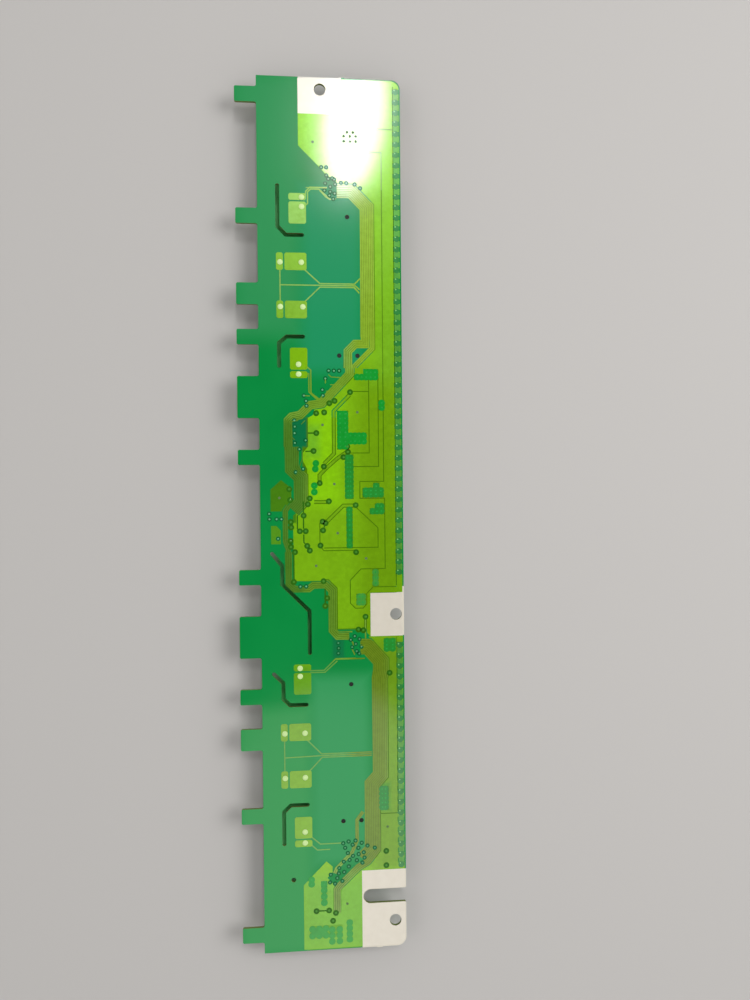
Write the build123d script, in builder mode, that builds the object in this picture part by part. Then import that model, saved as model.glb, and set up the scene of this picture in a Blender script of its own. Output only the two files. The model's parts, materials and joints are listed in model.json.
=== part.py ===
"""Backlight inverter board for an eight-lamp panel, lying solder side up.

+X points to the mounting-land edge, +Y along the board, +Z out of the solder side.
Z = 0 is the plane the flat transformer tops lie on, and X = Y = 0 is the middle of the outline.
"""
import os

from build123d import *

os.makedirs("parts", exist_ok=True)

# Board outline, mm
lamp_count = 8
lamp_pitch = 61.4  # lamp centre to lamp centre
end_margin = 9.5  # outer lamp centre to the short edge
body_width = 73.5
board_thickness = 1.6
tab_reach = 11.0  # how far the lamp tabs stand out of the long edge
lamp_tab_width = 7.8
wide_tab_width = 21.4  # the two locating tabs between the inner lamps
stub_tab_width = 11.0
stub_tab_offset = 8.75  # stub tab centre to the mid-line between two lamps
corner_radius = 4.75
router_radius = 1.0  # inside corners are as round as the router bit
tab_corner = 0.5  # the tabs' outer corners are only eased
break_off_width = 3.0  # what is left of the panel's break-off bridges
break_off_height = 0.35
break_off_top_column = 30.0
break_off_bottom_column = 14.0

# Screw holes, the open slot and the isolation slots
screw_hole_radius = 3.05
top_screw_column = 41.25
middle_screw_column = 4.15
bottom_screw_column = 5.65
open_slot_width = 7.3
open_slot_depth = 22.25
open_slot_mouth = 0.8
isolation_width = 2.0
tooling_hole_radius = 1.2

# Copper, both sides
copper_thickness = 0.07
copper_inset = 0.7  # bare rim between copper and the board's edge
clearance = 0.45  # copper to copper
track_width = 0.6
track_pitch = 0.92
plate_breadth = 8.9
plate_narrow = 3.5
plate_wide = 11.2
plate_gap = 0.8
plate_corner = 0.7
test_land_radius = 1.65
test_land_height = 0.12
test_land_sides = 16
narrow_land_reach = 5.75
edge_window_length = 2.5
edge_window_width = 3.7
edge_window_pitch = 5.38
edge_window_column = 2.35
edge_window_first = 218.4
hv_track_width = 2.4
contact_length = 7.0
contact_width = 5.0
contact_overlap = 0.3  # how far a contact reaches onto the body

# Transformers
transformer_column = 39.25  # transformer middle to the left-hand edge of the body
transformer_pairs = [118.25, -122.35]  # rows midway between two transformers
pair_gap = 7.0  # between the cores of a pair
transformer_height = 10.5
core_width = 27.0
core_length = 38.0
core_height = 8.0
core_leg = 3.6
core_back = 4.0
core_film = 0.2  # spacer film between the core halves
centre_leg_width = 8.0
centre_leg_height = 3.4
bobbin_play = 0.15
bobbin_wall = 0.8
flange_thickness = 0.7
flange_play = 0.4
winding_depth = 2.0
primary_length = 8.0
section_count = 4
rail_overhang = 0.8
rail_depth = 8.2
peg_radius = 1.05
peg_play = 0.1
peg_setback = 6.0  # peg middle in from the end of the core
peg_spread = 4.7  # two pegs stand this far either side of one
peg_column = 6.5  # and that one this far from the transformer's middle line
peg_below_face = 0.25
terminal_count = 5
terminal_pitch = 4.6
terminal_width = 0.9
terminal_foot = 1.7
terminal_thickness = 0.5
terminal_drop = 0.7  # share of the gap between core and board that a terminal spans

# Parts on the component side
can_diameter = 10.0
can_height = 9.0
can_edge = 0.6
can_groove = 0.35
can_base = 10.3
can_base_height = 1.1
can_corner = 1.6
can_pitch = 11.8
lead_thickness = 0.25
lead_width = 0.42
lead_pitch = 1.27
lead_foot = 0.7
package_taper = 12  # degrees
connector_pins_count = 12
connector_pitch = 2.0
connector_depth = 8.2
connector_height = 5.8
connector_wall = 1.0
connector_side = 3.0
connector_setback = 0.4
connector_row = 191.0
connector_pin = 0.5
connector_tail = 1.5
fuse_length = 6.1
fuse_width = 2.7
fuse_height = 2.6
fuse_cap_length = 1.3
chip_length = 2.0
chip_width = 1.25
chip_height = 0.9
chip_end = 0.4
diode_length = 2.9
diode_width = 1.3
diode_height = 1.0

# Worked-out places
board_bottom = transformer_height
solder_face = board_bottom + board_thickness
overall_width = tab_reach + body_width
tab_end = -overall_width / 2
left_edge = tab_end + tab_reach
right_edge = overall_width / 2
body_middle = (left_edge + right_edge) / 2
body_length = (lamp_count - 1) * lamp_pitch + 2 * end_margin
board_end = body_length / 2
lamp_lines = [(n - (lamp_count - 1) / 2) * lamp_pitch for n in range(lamp_count)]
rows_per_pitch = 61.4  # the copper layout is drawn in rows, this many to a lamp pitch
row = lamp_pitch / rows_per_pitch


def at(column, y):
    """A layout point, its column counted inwards from the right-hand edge."""
    return (right_edge - column, y * row)


def inboard(column, y):
    """A layout point, its column counted inwards from the left-hand edge."""
    return (left_edge + column, y * row)


def run(points, width, mode=Mode.ADD):
    """A straight-sided band along its centre points."""
    with BuildLine() as path:
        Polyline(*points)
    trace(path.line, width, mode)


def round_run(points, width, mode=Mode.ADD):
    """A band with round ends, as a router bit leaves it."""
    run(points, width, mode)
    with Locations(points[0], points[-1]):
        Circle(width / 2, mode=mode)


def beside(points, distance):
    """The same path moved sideways by a distance, its corners kept parallel."""
    ends = [Vector(*point) for point in points]
    headings = [(b - a).normalized() for a, b in zip(ends, ends[1:])]
    moved = []
    for index, point in enumerate(ends):
        ahead = headings[min(index, len(headings) - 1)]
        behind = headings[max(index - 1, 0)]
        normal = ahead.rotate(Axis.Z, 90)
        across = (ahead + behind).normalized().rotate(Axis.Z, 90)
        shifted = point + across * (distance / across.dot(normal))
        moved.append((shifted.X, shifted.Y))
    return moved


def block(low, high, mode=Mode.ADD):
    """A rectangle between two opposite corners."""
    with Locations(((low[0] + high[0]) / 2, (low[1] + high[1]) / 2)):
        Rectangle(abs(high[0] - low[0]), abs(high[1] - low[1]), mode=mode)


isolation_slots = [
    [inboard(10.2, 169), inboard(10.2, 148.3), inboard(14.3, 144.1), inboard(22.6, 144.1)],
    [inboard(22.6, 92.3), inboard(14.3, 92.3), inboard(10.4, 89), inboard(10.4, 77.4)],
    [inboard(5.8, -18.7), inboard(10.9, -25), inboard(10.9, -34.5), inboard(24.6, -48.4), inboard(24.6, -70)],
    [inboard(6.2, -80.6), inboard(10.9, -85.2), inboard(10.9, -93.4), inboard(14.2, -96.7), inboard(22.6, -96.7)],
    [inboard(22.7, -148.5), inboard(14, -148.5), inboard(10.6, -151.8), inboard(10.6, -168.3)],
]
screw_holes = [
    at(top_screw_column, 218.2),
    at(middle_screw_column, -50.9),
    at(bottom_screw_column, -210.9),
]
open_slot_row = -197.8
tooling_hole = inboard(15.2, -187.2)

# Transformer middles, each with its locating pegs: one peg at +Y or a pair at -Y
peg_reach = core_length / 2 - peg_setback
upper_pegs = [(peg_column, peg_reach)]
lower_pegs = [(peg_column - peg_spread, -peg_reach), (peg_column + peg_spread, -peg_reach)]
transformers = []
for pair_row in transformer_pairs:
    for side, pegs in ((1, upper_pegs), (-1, lower_pegs)):
        x, y = inboard(transformer_column, pair_row)
        transformers.append(((x, y + side * (core_length + pair_gap) / 2), pegs))
peg_spots = [(x + px, y + py) for (x, y), pegs in transformers for px, py in pegs]

with BuildPart() as circuit_board:
    with BuildSketch(Plane.XY.offset(board_bottom)) as outline:
        with Locations((body_middle, 0)):
            Rectangle(body_width, body_length)
        fillet(outline.vertices().group_by(Axis.X)[-1], corner_radius)
        tabs = [(y, lamp_tab_width) for y in lamp_lines]
        for side in (1, -1):
            tabs.append((side * lamp_pitch, wide_tab_width))
            tabs.append((side * (2 * lamp_pitch - stub_tab_offset), stub_tab_width))
        for y, width in tabs:
            block((tab_end, y - width / 2), (left_edge + router_radius, y + width / 2))
        roots = outline.vertices().filter_by_position(Axis.X, left_edge - 0.01, left_edge + 0.01)
        fillet(roots.sort_by(Axis.Y)[1:-1], router_radius)
        chamfer(outline.vertices().group_by(Axis.X)[0], tab_corner)
        with Locations((right_edge - break_off_top_column, board_end)):
            Rectangle(break_off_width, 2 * break_off_height)
        with Locations((right_edge - break_off_bottom_column, -board_end)):
            Rectangle(break_off_width, 2 * break_off_height)
        slot_end = right_edge - open_slot_depth + open_slot_width / 2
        slot_y = open_slot_row * row
        block(
            (slot_end, slot_y - open_slot_width / 2),
            (right_edge + open_slot_width, slot_y + open_slot_width / 2),
            Mode.SUBTRACT,
        )
        with Locations((slot_end, slot_y)):
            Circle(open_slot_width / 2, mode=Mode.SUBTRACT)
        mouth = outline.vertices().filter_by_position(Axis.X, right_edge - 0.01, right_edge + 0.01)
        mouth = mouth.filter_by_position(Axis.Y, slot_y - open_slot_width, slot_y + open_slot_width)
        fillet(mouth, open_slot_mouth)
        with Locations(*screw_holes):
            Circle(screw_hole_radius, mode=Mode.SUBTRACT)
        with Locations(*peg_spots):
            Circle(peg_radius + peg_play, mode=Mode.SUBTRACT)
        with Locations(tooling_hole):
            Circle(tooling_hole_radius, mode=Mode.SUBTRACT)
        for path in isolation_slots:
            round_run(path, isolation_width, Mode.SUBTRACT)
    extrude(amount=board_thickness)
circuit_board.part.label = "circuit_board"
export_step(circuit_board.part, "parts/circuit_board.step")

# Sense plates: middle, turn, and where the two test lands sit on the pair.
# A pair is one narrow and one wide plate, the narrow one towards +Y before it is turned.
sense_pairs = [
    (inboard(20.3, 157.6), 0, 2.2, 0.95),
    (inboard(17.0, 130.6), 90, -0.4, -5.1),
    (inboard(17.0, 106.1), 90, 1.4, -5.7),
    (inboard(20.3, 78.9), 180, 0.1, 0.75),
    (inboard(20.7, -83.6), 0, -1.2, 1.6),
    (inboard(17.1, -110.8), 90, -0.6, -4.6),
    (inboard(17.1, -135.2), 90, 0.8, -4.5),
    (inboard(20.5, -162.5), 180, -0.75, 0.1),
]
pair_length = plate_narrow + plate_gap + plate_wide


def pair_place(pair):
    (x, y), turn = pair[0], pair[1]
    return Location((x, y, 0), (0, 0, turn))


def eased_plate(length, mode=Mode.ADD):
    """A plate with its corners cut back at 45 degrees."""
    breadth = plate_breadth / 2
    reach = length / 2
    corner = [(breadth, reach - plate_corner), (breadth - plate_corner, reach)]
    half = corner + [(-x, y) for x, y in reversed(corner)]
    Polygon(*half, *[(-x, -y) for x, y in half], align=None, mode=mode)


def draw_plates(mode=Mode.ADD):
    """Both plates of every sense pair."""
    for pair in sense_pairs:
        with Locations(pair_place(pair)):
            with Locations((0, (pair_length - plate_narrow) / 2)):
                eased_plate(plate_narrow, mode)
            with Locations((0, (plate_wide - pair_length) / 2)):
                eased_plate(plate_wide, mode)


with BuildPart() as sense_plates:
    with BuildSketch(Plane.XY.offset(solder_face)):
        draw_plates()
    extrude(amount=copper_thickness)
sense_plates.part.label = "sense_plates"
export_step(sense_plates.part, "parts/sense_plates.step")

with BuildPart() as test_lands:
    with BuildSketch(Plane.XY.offset(solder_face + copper_thickness)):
        for pair in sense_pairs:
            with Locations(pair_place(pair)):
                with Locations((pair[2], narrow_land_reach), (pair[2], pair[3])):
                    RegularPolygon(test_land_radius, test_land_sides)
    extrude(amount=test_land_height)
test_lands.part.label = "test_lands"
export_step(test_lands.part, "parts/test_lands.step")

# Chassis lands: bare tinned copper round each screw hole
land_corners = [
    (at(52.5, 205.8), at(30.2, 230)),
    (at(17.4, -62.2), at(-1, -39.8)),
    (at(23.0, -230), at(-1, -184.2)),
]


def draw_lands(mode=Mode.ADD):
    for low, high in land_corners:
        block(low, high, mode)


def keep_on_board():
    """Trims the copper back to the rim, the slots and the holes."""
    with Locations((body_middle, 0)):
        RectangleRounded(
            body_width - 2 * copper_inset,
            body_length - 2 * copper_inset,
            corner_radius - copper_inset,
            mode=Mode.INTERSECT,
        )
    rim_width = open_slot_width + copper_inset
    block((slot_end, slot_y - rim_width / 2), (right_edge, slot_y + rim_width / 2), Mode.SUBTRACT)
    with Locations((slot_end, slot_y)):
        Circle(rim_width / 2, mode=Mode.SUBTRACT)
    with Locations(*screw_holes):
        Circle(screw_hole_radius, mode=Mode.SUBTRACT)
    for path in isolation_slots:
        round_run(path, isolation_width + copper_inset, Mode.SUBTRACT)


with BuildPart() as chassis_lands:
    with BuildSketch(Plane.XY.offset(solder_face)):
        draw_lands()
        keep_on_board()
    extrude(amount=copper_thickness)
chassis_lands.part.label = "chassis_lands"
export_step(chassis_lands.part, "parts/chassis_lands.step")

# Signal tracks run side by side in bundles: how many, and their middle path
upper_column = 17.75
left_five = upper_column + 1.5 * track_pitch
right_three = upper_column - 2.5 * track_pitch
upper_bundles = [
    (8, [at(33, 166.9), at(25.6, 166.9), at(upper_column, 159), at(upper_column, 92.5)]),
    (5, [at(left_five, 92.5), at(left_five, 88.8), at(24.2, 88.8), at(28.0, 85), at(28.0, 76.4)]),
    (3, [at(right_three, 92.5), at(right_three, 86.6), at(24.8, 77.2), at(24.8, 76.4)]),
    (5, [at(27.2, 76.4), at(27.2, 73.4), at(41.6, 58.2), at(47.6, 57.3), at(52.8, 52.2), at(57, 51.4),
         at(59.0, 49.4), at(59.0, 36)]),
    (8, [at(57.2, 36), at(57.2, 24.6), at(52.8, 20.2), at(52.8, 7.6), at(56.8, 3.4)]),
    (3, [at(59.2, 5.6), at(60.8, 3.2), at(60.8, -12.4), at(59.4, -16.4), at(59.4, -18)]),
    (4, [at(59.3, -18), at(59.3, -34.2), at(56.4, -37), at(49.2, -37), at(46.9, -35.2), at(40.4, -35.2),
         at(37.4, -38.2), at(37.4, -58.8), at(34.6, -61.9), at(28.6, -61.9)]),
]
lower_column = 17.3
left_five_low = lower_column + 2 * track_pitch
right_four_low = lower_column - 2.5 * track_pitch
lower_bundles = [
    (9, [at(22.8, -67.5), at(19.1, -67.5), at(12.2, -75.4), at(12.2, -80), at(12.95, -84),
         at(12.95, -134.4), at(lower_column, -139.1), at(lower_column, -171)]),
    (5, [at(left_five_low, -171), at(left_five_low, -172.4), at(23.6, -177)]),
    (4, [at(right_four_low, -171), at(right_four_low, -173.5), at(19.7, -179.4), at(24.9, -182.4),
         at(34.6, -191.4), at(36, -193.4), at(36, -205.4)]),
    (2, [at(22.2, -153.4), at(25.4, -157.6), at(25.4, -168.2), at(28, -174.2), at(36.2, -182.4),
         at(37.2, -184.8)]),
]
single_tracks = [
    [at(41.1, -32.9), at(39.3, -32.9), at(35.1, -37.1), at(35.1, -58.6), at(34, -59.6), at(27, -59.6)],
    [at(28.6, -63.3), at(27.2, -64.4), at(26.4, -66.2), at(27.2, -68.4), at(25.8, -71.6)],
    [at(20.1, -52.8), at(20.1, -63.4)],
    [inboard(11.2, 127), inboard(11.2, 110)],
    [inboard(11.2, 118.6), at(41.8, 118.6)],
    [inboard(23.4, 126.8), at(42.0, 119.5), at(24.2, 119.5), at(21.4, 122.4)],
    [at(41.8, 118.6), at(23.8, 118.6), at(21.6, 116.6)],
    [inboard(23.4, 109.8), at(42.0, 117.7), at(24.4, 117.7), at(21.8, 114.8)],
    [inboard(11.2, -114), inboard(11.2, -131.6)],
    [inboard(11.2, -123.8), at(43.0, -123.3)],
    [inboard(22.6, -114.8), at(43.4, -122.4), at(17.4, -122.4)],
    [at(43.0, -123.3), at(17.4, -123.3)],
    [inboard(23.6, -131.4), at(43.0, -124.2), at(17.4, -124.2)],
    [inboard(24.4, 159.2), inboard(25.6, 160.2), inboard(25.6, 166), inboard(27.2, 167.6), at(42, 167.6)],
    [inboard(24.4, 163.4), inboard(24.7, 166.4), inboard(26.8, 168.5), at(38, 168.5)],
    [at(42, 167.6), at(36.4, 162.6), at(33.4, 162.9)],
    [inboard(24.4, 77), inboard(26.4, 75.2), inboard(26.4, 63.5), at(42.6, 60.2)],
    [inboard(24.4, 73.4), inboard(25.4, 73.4), inboard(25.4, 64), at(43.6, 59.9)],
    [inboard(24.6, -79.2), at(41.7, -79.2), at(35.8, -73.6), at(20.6, -73.6)],
    [inboard(24.6, -80.2), at(41.2, -80.2), at(34.8, -74.5)],
    [inboard(24.4, -165.2), at(44.4, -169.2), at(33.4, -169.2)],
    [inboard(24.4, -169.4), at(46, -172.2), at(39.4, -172.2)],
]
bundles = upper_bundles + lower_bundles


def bundle_width(count):
    return (count - 1) * track_pitch + track_width


with BuildPart() as signal_tracks:
    with BuildSketch(Plane.XY.offset(solder_face)):
        for count, path in bundles:
            for index in range(count):
                run(beside(path, (index - (count - 1) / 2) * track_pitch), track_width)
        for path in single_tracks:
            run(path, track_width)
        draw_plates(Mode.SUBTRACT)
        draw_lands(Mode.SUBTRACT)
        keep_on_board()
    extrude(amount=copper_thickness)
signal_tracks.part.label = "signal_tracks"
export_step(signal_tracks.part, "parts/signal_tracks.step")

# Copper pours: their outer shapes, the slits that part them and the windows round the vias
pour_shapes = [
    [at(52.5, 230), at(52.5, 189.6), at(42, 179.1), at(38.8, 175.5), at(33, 171.6), at(33, 166.9),
     at(25.6, 166.9), at(upper_column, 159), at(upper_column, 92.5), at(right_three, 92.5),
     at(right_three, 86.6), at(24.8, 77.2), at(24.8, 76.4), at(27.2, 73.4), at(41.6, 58.2),
     at(44.6, 57.7), at(46.2, 52.2), at(48.8, 50.8), at(48.8, 36.2), at(51.6, 32.8), at(51.6, 28.8),
     at(49.4, 24.6), at(49.4, 9), at(51, 5.6), at(56.8, 0.8), at(56.8, -32.9), at(39.3, -32.9),
     at(35.1, -37.1), at(35.1, -57.9), at(21.6, -57.9), at(17.4, -62.2), at(17.4, -39.6), at(-1, -39.6),
     at(-1, 230)],
    [at(68.2, 3.0), at(68.2, 14.2), at(62.8, 19), at(57.6, 14.8), at(57.6, 6.4), at(61.2, 3.0)],
    [at(68.1, -4.4), at(68.1, -13.8), at(63.2, -13.8), at(63.2, -6.8), at(65.4, -4.4)],
    [at(18.4, -62.2), at(12.2, -75.4), at(12.2, -80), at(12.95, -84), at(12.95, -134.4),
     at(lower_column, -139.1), at(lower_column, -171), at(right_four_low, -173.5), at(19.7, -179.4),
     at(23, -181.3), at(23, -184.2), at(-1, -184.2), at(-1, -62.2)],
    [at(53.2, -230), at(53.2, -190.2), at(41.4, -178.4), at(38.3, -181.2), at(38.3, -184.2), at(41.0, -187),
     at(38, -190.2), at(36, -193.4), at(34.6, -191.4), at(24.9, -182.4), at(23, -181.3), at(23, -230)],
]
slit_width = 0.5
pour_slits = [
    [at(11.9, 199), at(4.2, 199)],
    [at(16.6, 187.2), at(10.0, 187.2), at(10.0, 18), at(22.4, 18), at(22.4, 9.3), at(9.6, 9.3),
     at(9.6, -27.2), at(22.2, -27.2), at(27.8, -33), at(27.8, -44.8), at(25.2, -47.5), at(21.2, -47.5),
     at(19.3, -45.4), at(19.3, -40), at(16.0, -36.6), at(3.8, -36.6)],
    [at(12.6, 71.5), at(12.6, 25.7), at(25.8, 25.7)],
    [at(25.8, 64.4), at(17.4, 64.4), at(17.4, 70.5)],
    [at(17.4, 64.4), at(17.4, 32.7), at(27.6, 32.7)],
    [at(24.8, 5), at(13.2, -6), at(13.2, -16.1), at(41, -16.1)],
    [at(25, -17.5), at(41.2, -17.5), at(43.2, -15), at(43.2, -3)],
    [at(13.8, -154.8), at(3.8, -154.8)],
]
wide_track_half = 0.8  # a wider track in the pour has a slit this far to each side
wide_tracks = [
    [at(27.3, 62.6), at(35.6, 54.2), at(35.6, 32.4), at(40.8, 27.2)],
    [at(28.9, 33.4), at(34.1, 29.8), at(39.7, 24.9), at(43.1, 21.4), at(43.1, 18.4)],
    [at(25.2, 5.6), at(31.1, 5.6), at(39.4, -2.4), at(41.6, -2.4)],
    [at(46, 7.6), at(39.2, 7.6)],
]
via_windows = [
    (at(25, 70.2), at(12.25, 73)), (at(20.2, 72.5), at(12.25, 76)), (at(33.95, 34.5), at(28.05, 54.5)),
    (at(28.5, 37.3), at(18.7, 43.2)), (at(30.05, 9), at(25.65, 32)), (at(29.55, -16.5), at(26.25, 5)),
    (at(12.3, 54.6), at(9.3, 60)), (at(21.1, 9.7), at(10.1, 14.8)), (at(15.6, 14.5), at(12.2, 17.4)),
    (at(17.4, 1), at(9.9, 4.2)), (at(14.8, 4), at(9.9, 6.6)), (at(16.25, -36.2), at(13.1, -27.5)),
    (at(24.7, -46), at(19.8, -40)), (at(10.7, -70), at(4.4, -63.4)), (at(13.7, -153), at(8.8, -140.5)),
    (at(44.3, -201), at(41.1, -188.6)), (at(50.4, -218), at(33.4, -211.6)), (at(31.2, -221), at(28.2, -209.4)),
]
edge_rows = [edge_window_first - index * edge_window_pitch for index in range(81)]
edge_rows = [y for y in edge_rows if y > -34 or -184 < y < -63.5]

with BuildPart() as copper_pours:
    with BuildSketch(Plane.XY.offset(solder_face)):
        for shape in pour_shapes:
            Polygon(*shape, align=None)
        for path in pour_slits:
            run(path, slit_width, Mode.SUBTRACT)
        for path in wide_tracks:
            run(beside(path, wide_track_half), slit_width, Mode.SUBTRACT)
            run(beside(path, -wide_track_half), slit_width, Mode.SUBTRACT)
        for low, high in via_windows:
            block(low, high, Mode.SUBTRACT)
        with Locations(*[at(edge_window_column, y) for y in edge_rows]):
            Rectangle(edge_window_width, edge_window_length, mode=Mode.SUBTRACT)
        for count, path in bundles:
            run(path, bundle_width(count) + 2 * clearance, Mode.SUBTRACT)
        for path in single_tracks:
            run(path, track_width + 2 * clearance, Mode.SUBTRACT)
        draw_lands(Mode.SUBTRACT)
        keep_on_board()
    extrude(amount=copper_thickness)
copper_pours.part.label = "copper_pours"
export_step(copper_pours.part, "parts/copper_pours.step")

# High-voltage copper on the component side: a plate behind each sense pair, led to its lamp tab
contact_column = contact_overlap - contact_length / 2
hv_paths = [
    [(20.3, 157.6), (17.2, 172), (7.2, 182), (7.2, 208), (3.0, 214.9)],
    [(17.0, 130.6), (9.0, 130.6), (5.2, 136), (5.2, 149), (2.0, 153.5)],
    [(17.0, 106.1), (9.0, 106.1), (5.2, 101), (5.2, 96), (2.0, 92.1)],
    [(20.3, 78.9), (19.6, 66), (6.2, 53), (6.2, 36), (2.0, 30.7)],
    [(20.7, -83.6), (18.6, -70), (5.6, -57), (5.6, -36), (2.0, -30.7)],
    [(17.1, -110.8), (9.0, -110.8), (5.2, -106), (5.2, -97), (2.0, -92.1)],
    [(17.1, -135.2), (9.0, -135.2), (5.2, -140), (5.2, -149), (2.0, -153.5)],
    [(20.5, -162.5), (18.2, -176), (7.2, -187), (7.2, -208), (3.0, -214.9)],
]
with BuildPart() as hv_copper:
    with BuildSketch(Plane.XY.offset(board_bottom - copper_thickness)):
        for (middle, turn, *_), path, lamp_y in zip(sense_pairs, hv_paths, reversed(lamp_lines)):
            with Locations(Location((*middle, 0), (0, 0, turn))):
                eased_plate(pair_length)
            points = [inboard(*point) for point in path]
            points.append((left_edge + contact_overlap, lamp_y))
            run(points, hv_track_width)
    extrude(amount=copper_thickness)
hv_copper.part.label = "hv_copper"
export_step(hv_copper.part, "parts/hv_copper.step")

with BuildPart() as lamp_contacts:
    with BuildSketch(Plane.XY.offset(board_bottom - copper_thickness)):
        with Locations(*[(left_edge + contact_column, y) for y in lamp_lines]):
            Rectangle(contact_length, contact_width)
    extrude(amount=copper_thickness)
lamp_contacts.part.label = "lamp_contacts"
export_step(lamp_contacts.part, "parts/lamp_contacts.step")

# Transformers: two E-shaped core halves round a sectioned bobbin
bore_width = centre_leg_width + 2 * bobbin_play
bore_height = centre_leg_height + 2 * bobbin_play
tube_width = bore_width + 2 * bobbin_wall
tube_height = bore_height + 2 * bobbin_wall
flange_width = core_width - 2 * core_leg - 2 * flange_play
flange_height = core_height - 2 * flange_play
tube_length = core_length - 2 * core_back - 2 * bobbin_play
section_pitch = (tube_length - flange_thickness - primary_length) / 2 / section_count
flange_spots = [
    side * (tube_length / 2 - flange_thickness / 2 - index * section_pitch)
    for side in (-1, 1)
    for index in range(section_count + 1)
]
rail_width = core_width - 2 * bobbin_play
rail_end = core_length / 2 + rail_overhang
ring_width = tube_width + 2 * winding_depth
ring_height = min(tube_height + 2 * winding_depth, flange_height - 2 * flange_play)

for number, ((tx, ty), pegs) in enumerate(transformers, start=1):
    with BuildPart() as core:
        for side in (-1, 1):
            with BuildSketch(Plane((tx, ty, 0))):
                with Locations((0, side * (core_length - core_back) / 2)):
                    Rectangle(core_width, core_back)
                leg_length = (core_length - core_film) / 2
                leg_spot = side * (core_length - leg_length) / 2
                leg_column = (core_width - core_leg) / 2
                with Locations((-leg_column, leg_spot), (leg_column, leg_spot)):
                    Rectangle(core_leg, leg_length)
            extrude(amount=core_height)
            with BuildSketch(Plane((tx, ty, (core_height - centre_leg_height) / 2))):
                with Locations((0, leg_spot)):
                    Rectangle(centre_leg_width, leg_length)
            extrude(amount=centre_leg_height)
    core.part.label = f"transformer_{number}_core"
    export_step(core.part, f"parts/transformer_{number}_core.step")

    across = Plane((tx, ty, core_height / 2), x_dir=(1, 0, 0), z_dir=(0, 1, 0))
    with BuildPart() as bobbin:
        with BuildSketch(across):
            Rectangle(tube_width, tube_height)
        extrude(amount=tube_length / 2, both=True)
        for spot in flange_spots:
            with BuildSketch(across.offset(spot)):
                Rectangle(flange_width, flange_height)
            extrude(amount=flange_thickness / 2, both=True)
        for side in (-1, 1):
            with BuildSketch(Plane((tx, ty, core_height))):
                with Locations((0, side * (rail_end - rail_depth / 2))):
                    Rectangle(rail_width, rail_depth)
            extrude(amount=transformer_height - core_height)
            neck = side * (tube_length - flange_thickness) / 2
            with BuildSketch(Plane((tx, ty, core_height / 2))):
                with Locations((0, neck)):
                    Rectangle(flange_width, flange_thickness)
            extrude(amount=core_height / 2 + flange_play)
        with BuildSketch(Plane((tx, ty, transformer_height))):
            with Locations(*pegs):
                Circle(peg_radius)
        extrude(amount=board_thickness - peg_below_face)
        with BuildSketch(across):
            Rectangle(bore_width, bore_height)
        extrude(amount=tube_length, both=True, mode=Mode.SUBTRACT)
    bobbin.part.label = f"transformer_{number}_bobbin"
    export_step(bobbin.part, f"parts/transformer_{number}_bobbin.step")

    secondary_length = section_pitch - flange_thickness
    with BuildPart() as secondaries:
        for side in (-1, 1):
            for index in range(section_count):
                spot = side * (tube_length / 2 - flange_thickness / 2 - (index + 0.5) * section_pitch)
                with BuildSketch(across.offset(spot)) as ring:
                    Rectangle(ring_width, ring_height)
                    chamfer(ring.vertices(), winding_depth / 2)
                    Rectangle(tube_width, tube_height, mode=Mode.SUBTRACT)
                extrude(amount=secondary_length / 2, both=True)
    secondaries.part.label = f"transformer_{number}_secondaries"
    export_step(secondaries.part, f"parts/transformer_{number}_secondaries.step")

    inner_flange = tube_length / 2 - section_count * section_pitch - flange_thickness
    with BuildPart() as primary:
        with BuildSketch(across) as ring:
            Rectangle(ring_width, ring_height)
            chamfer(ring.vertices(), winding_depth / 2)
            Rectangle(tube_width, tube_height, mode=Mode.SUBTRACT)
        extrude(amount=inner_flange, both=True)
    primary.part.label = f"transformer_{number}_primary"
    export_step(primary.part, f"parts/transformer_{number}_primary.step")

with BuildPart() as transformer_terminals:
    for (tx, ty), _ in transformers:
        for side in (-1, 1):
            with BuildSketch(Plane((tx, ty + side * rail_end, board_bottom - terminal_thickness))):
                with Locations((0, side * terminal_foot / 2)):
                    with GridLocations(terminal_pitch, 1, terminal_count, 1):
                        Rectangle(terminal_width, terminal_foot)
            extrude(amount=terminal_thickness)
            riser = (board_bottom - core_height) * terminal_drop
            with BuildSketch(Plane((tx, ty + side * rail_end, board_bottom - riser))):
                with Locations((0, side * terminal_thickness / 2)):
                    with GridLocations(terminal_pitch, 1, terminal_count, 1):
                        Rectangle(terminal_width, terminal_thickness)
            extrude(amount=riser)
transformer_terminals.part.label = "transformer_terminals"
export_step(transformer_terminals.part, "parts/transformer_terminals.step")

# Bulk capacitors: a rolled can on a moulded base with two cut corners
can_grid = GridLocations(1, can_pitch, 1, 2).local_locations
cans_x, cans_y = at(27, 195.2)
can_spots = [(cans_x + spot.position.X, cans_y + spot.position.Y) for spot in can_grid]
can_top = board_bottom - can_base_height
can_radius = can_diameter / 2
with BuildPart() as capacitor_cans:
    for x, y in can_spots:
        with BuildSketch(Plane((x, y, can_top), x_dir=(1, 0, 0), z_dir=(0, -1, 0))):
            with BuildLine():
                Polyline(
                    (0, 0),
                    (can_radius, 0),
                    (can_radius, -2 * can_groove),
                    (can_radius - can_groove, -3 * can_groove),
                    (can_radius, -4 * can_groove),
                    (can_radius, can_edge - can_height),
                    (can_radius - can_edge, -can_height),
                    (0, -can_height),
                    close=True,
                )
            make_face()
        revolve(axis=Axis((x, y, 0), (0, 0, 1)))
capacitor_cans.part.label = "capacitor_cans"
export_step(capacitor_cans.part, "parts/capacitor_cans.step")

with BuildPart() as capacitor_bases:
    for x, y in can_spots:
        with BuildSketch(Plane((x, y, can_top))) as base:
            Rectangle(can_base, can_base)
            chamfer(base.vertices().group_by(Axis.Y)[-1], can_corner)
        extrude(amount=can_base_height)
capacitor_bases.part.label = "capacitor_bases"
export_step(capacitor_bases.part, "parts/capacitor_bases.step")


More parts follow.
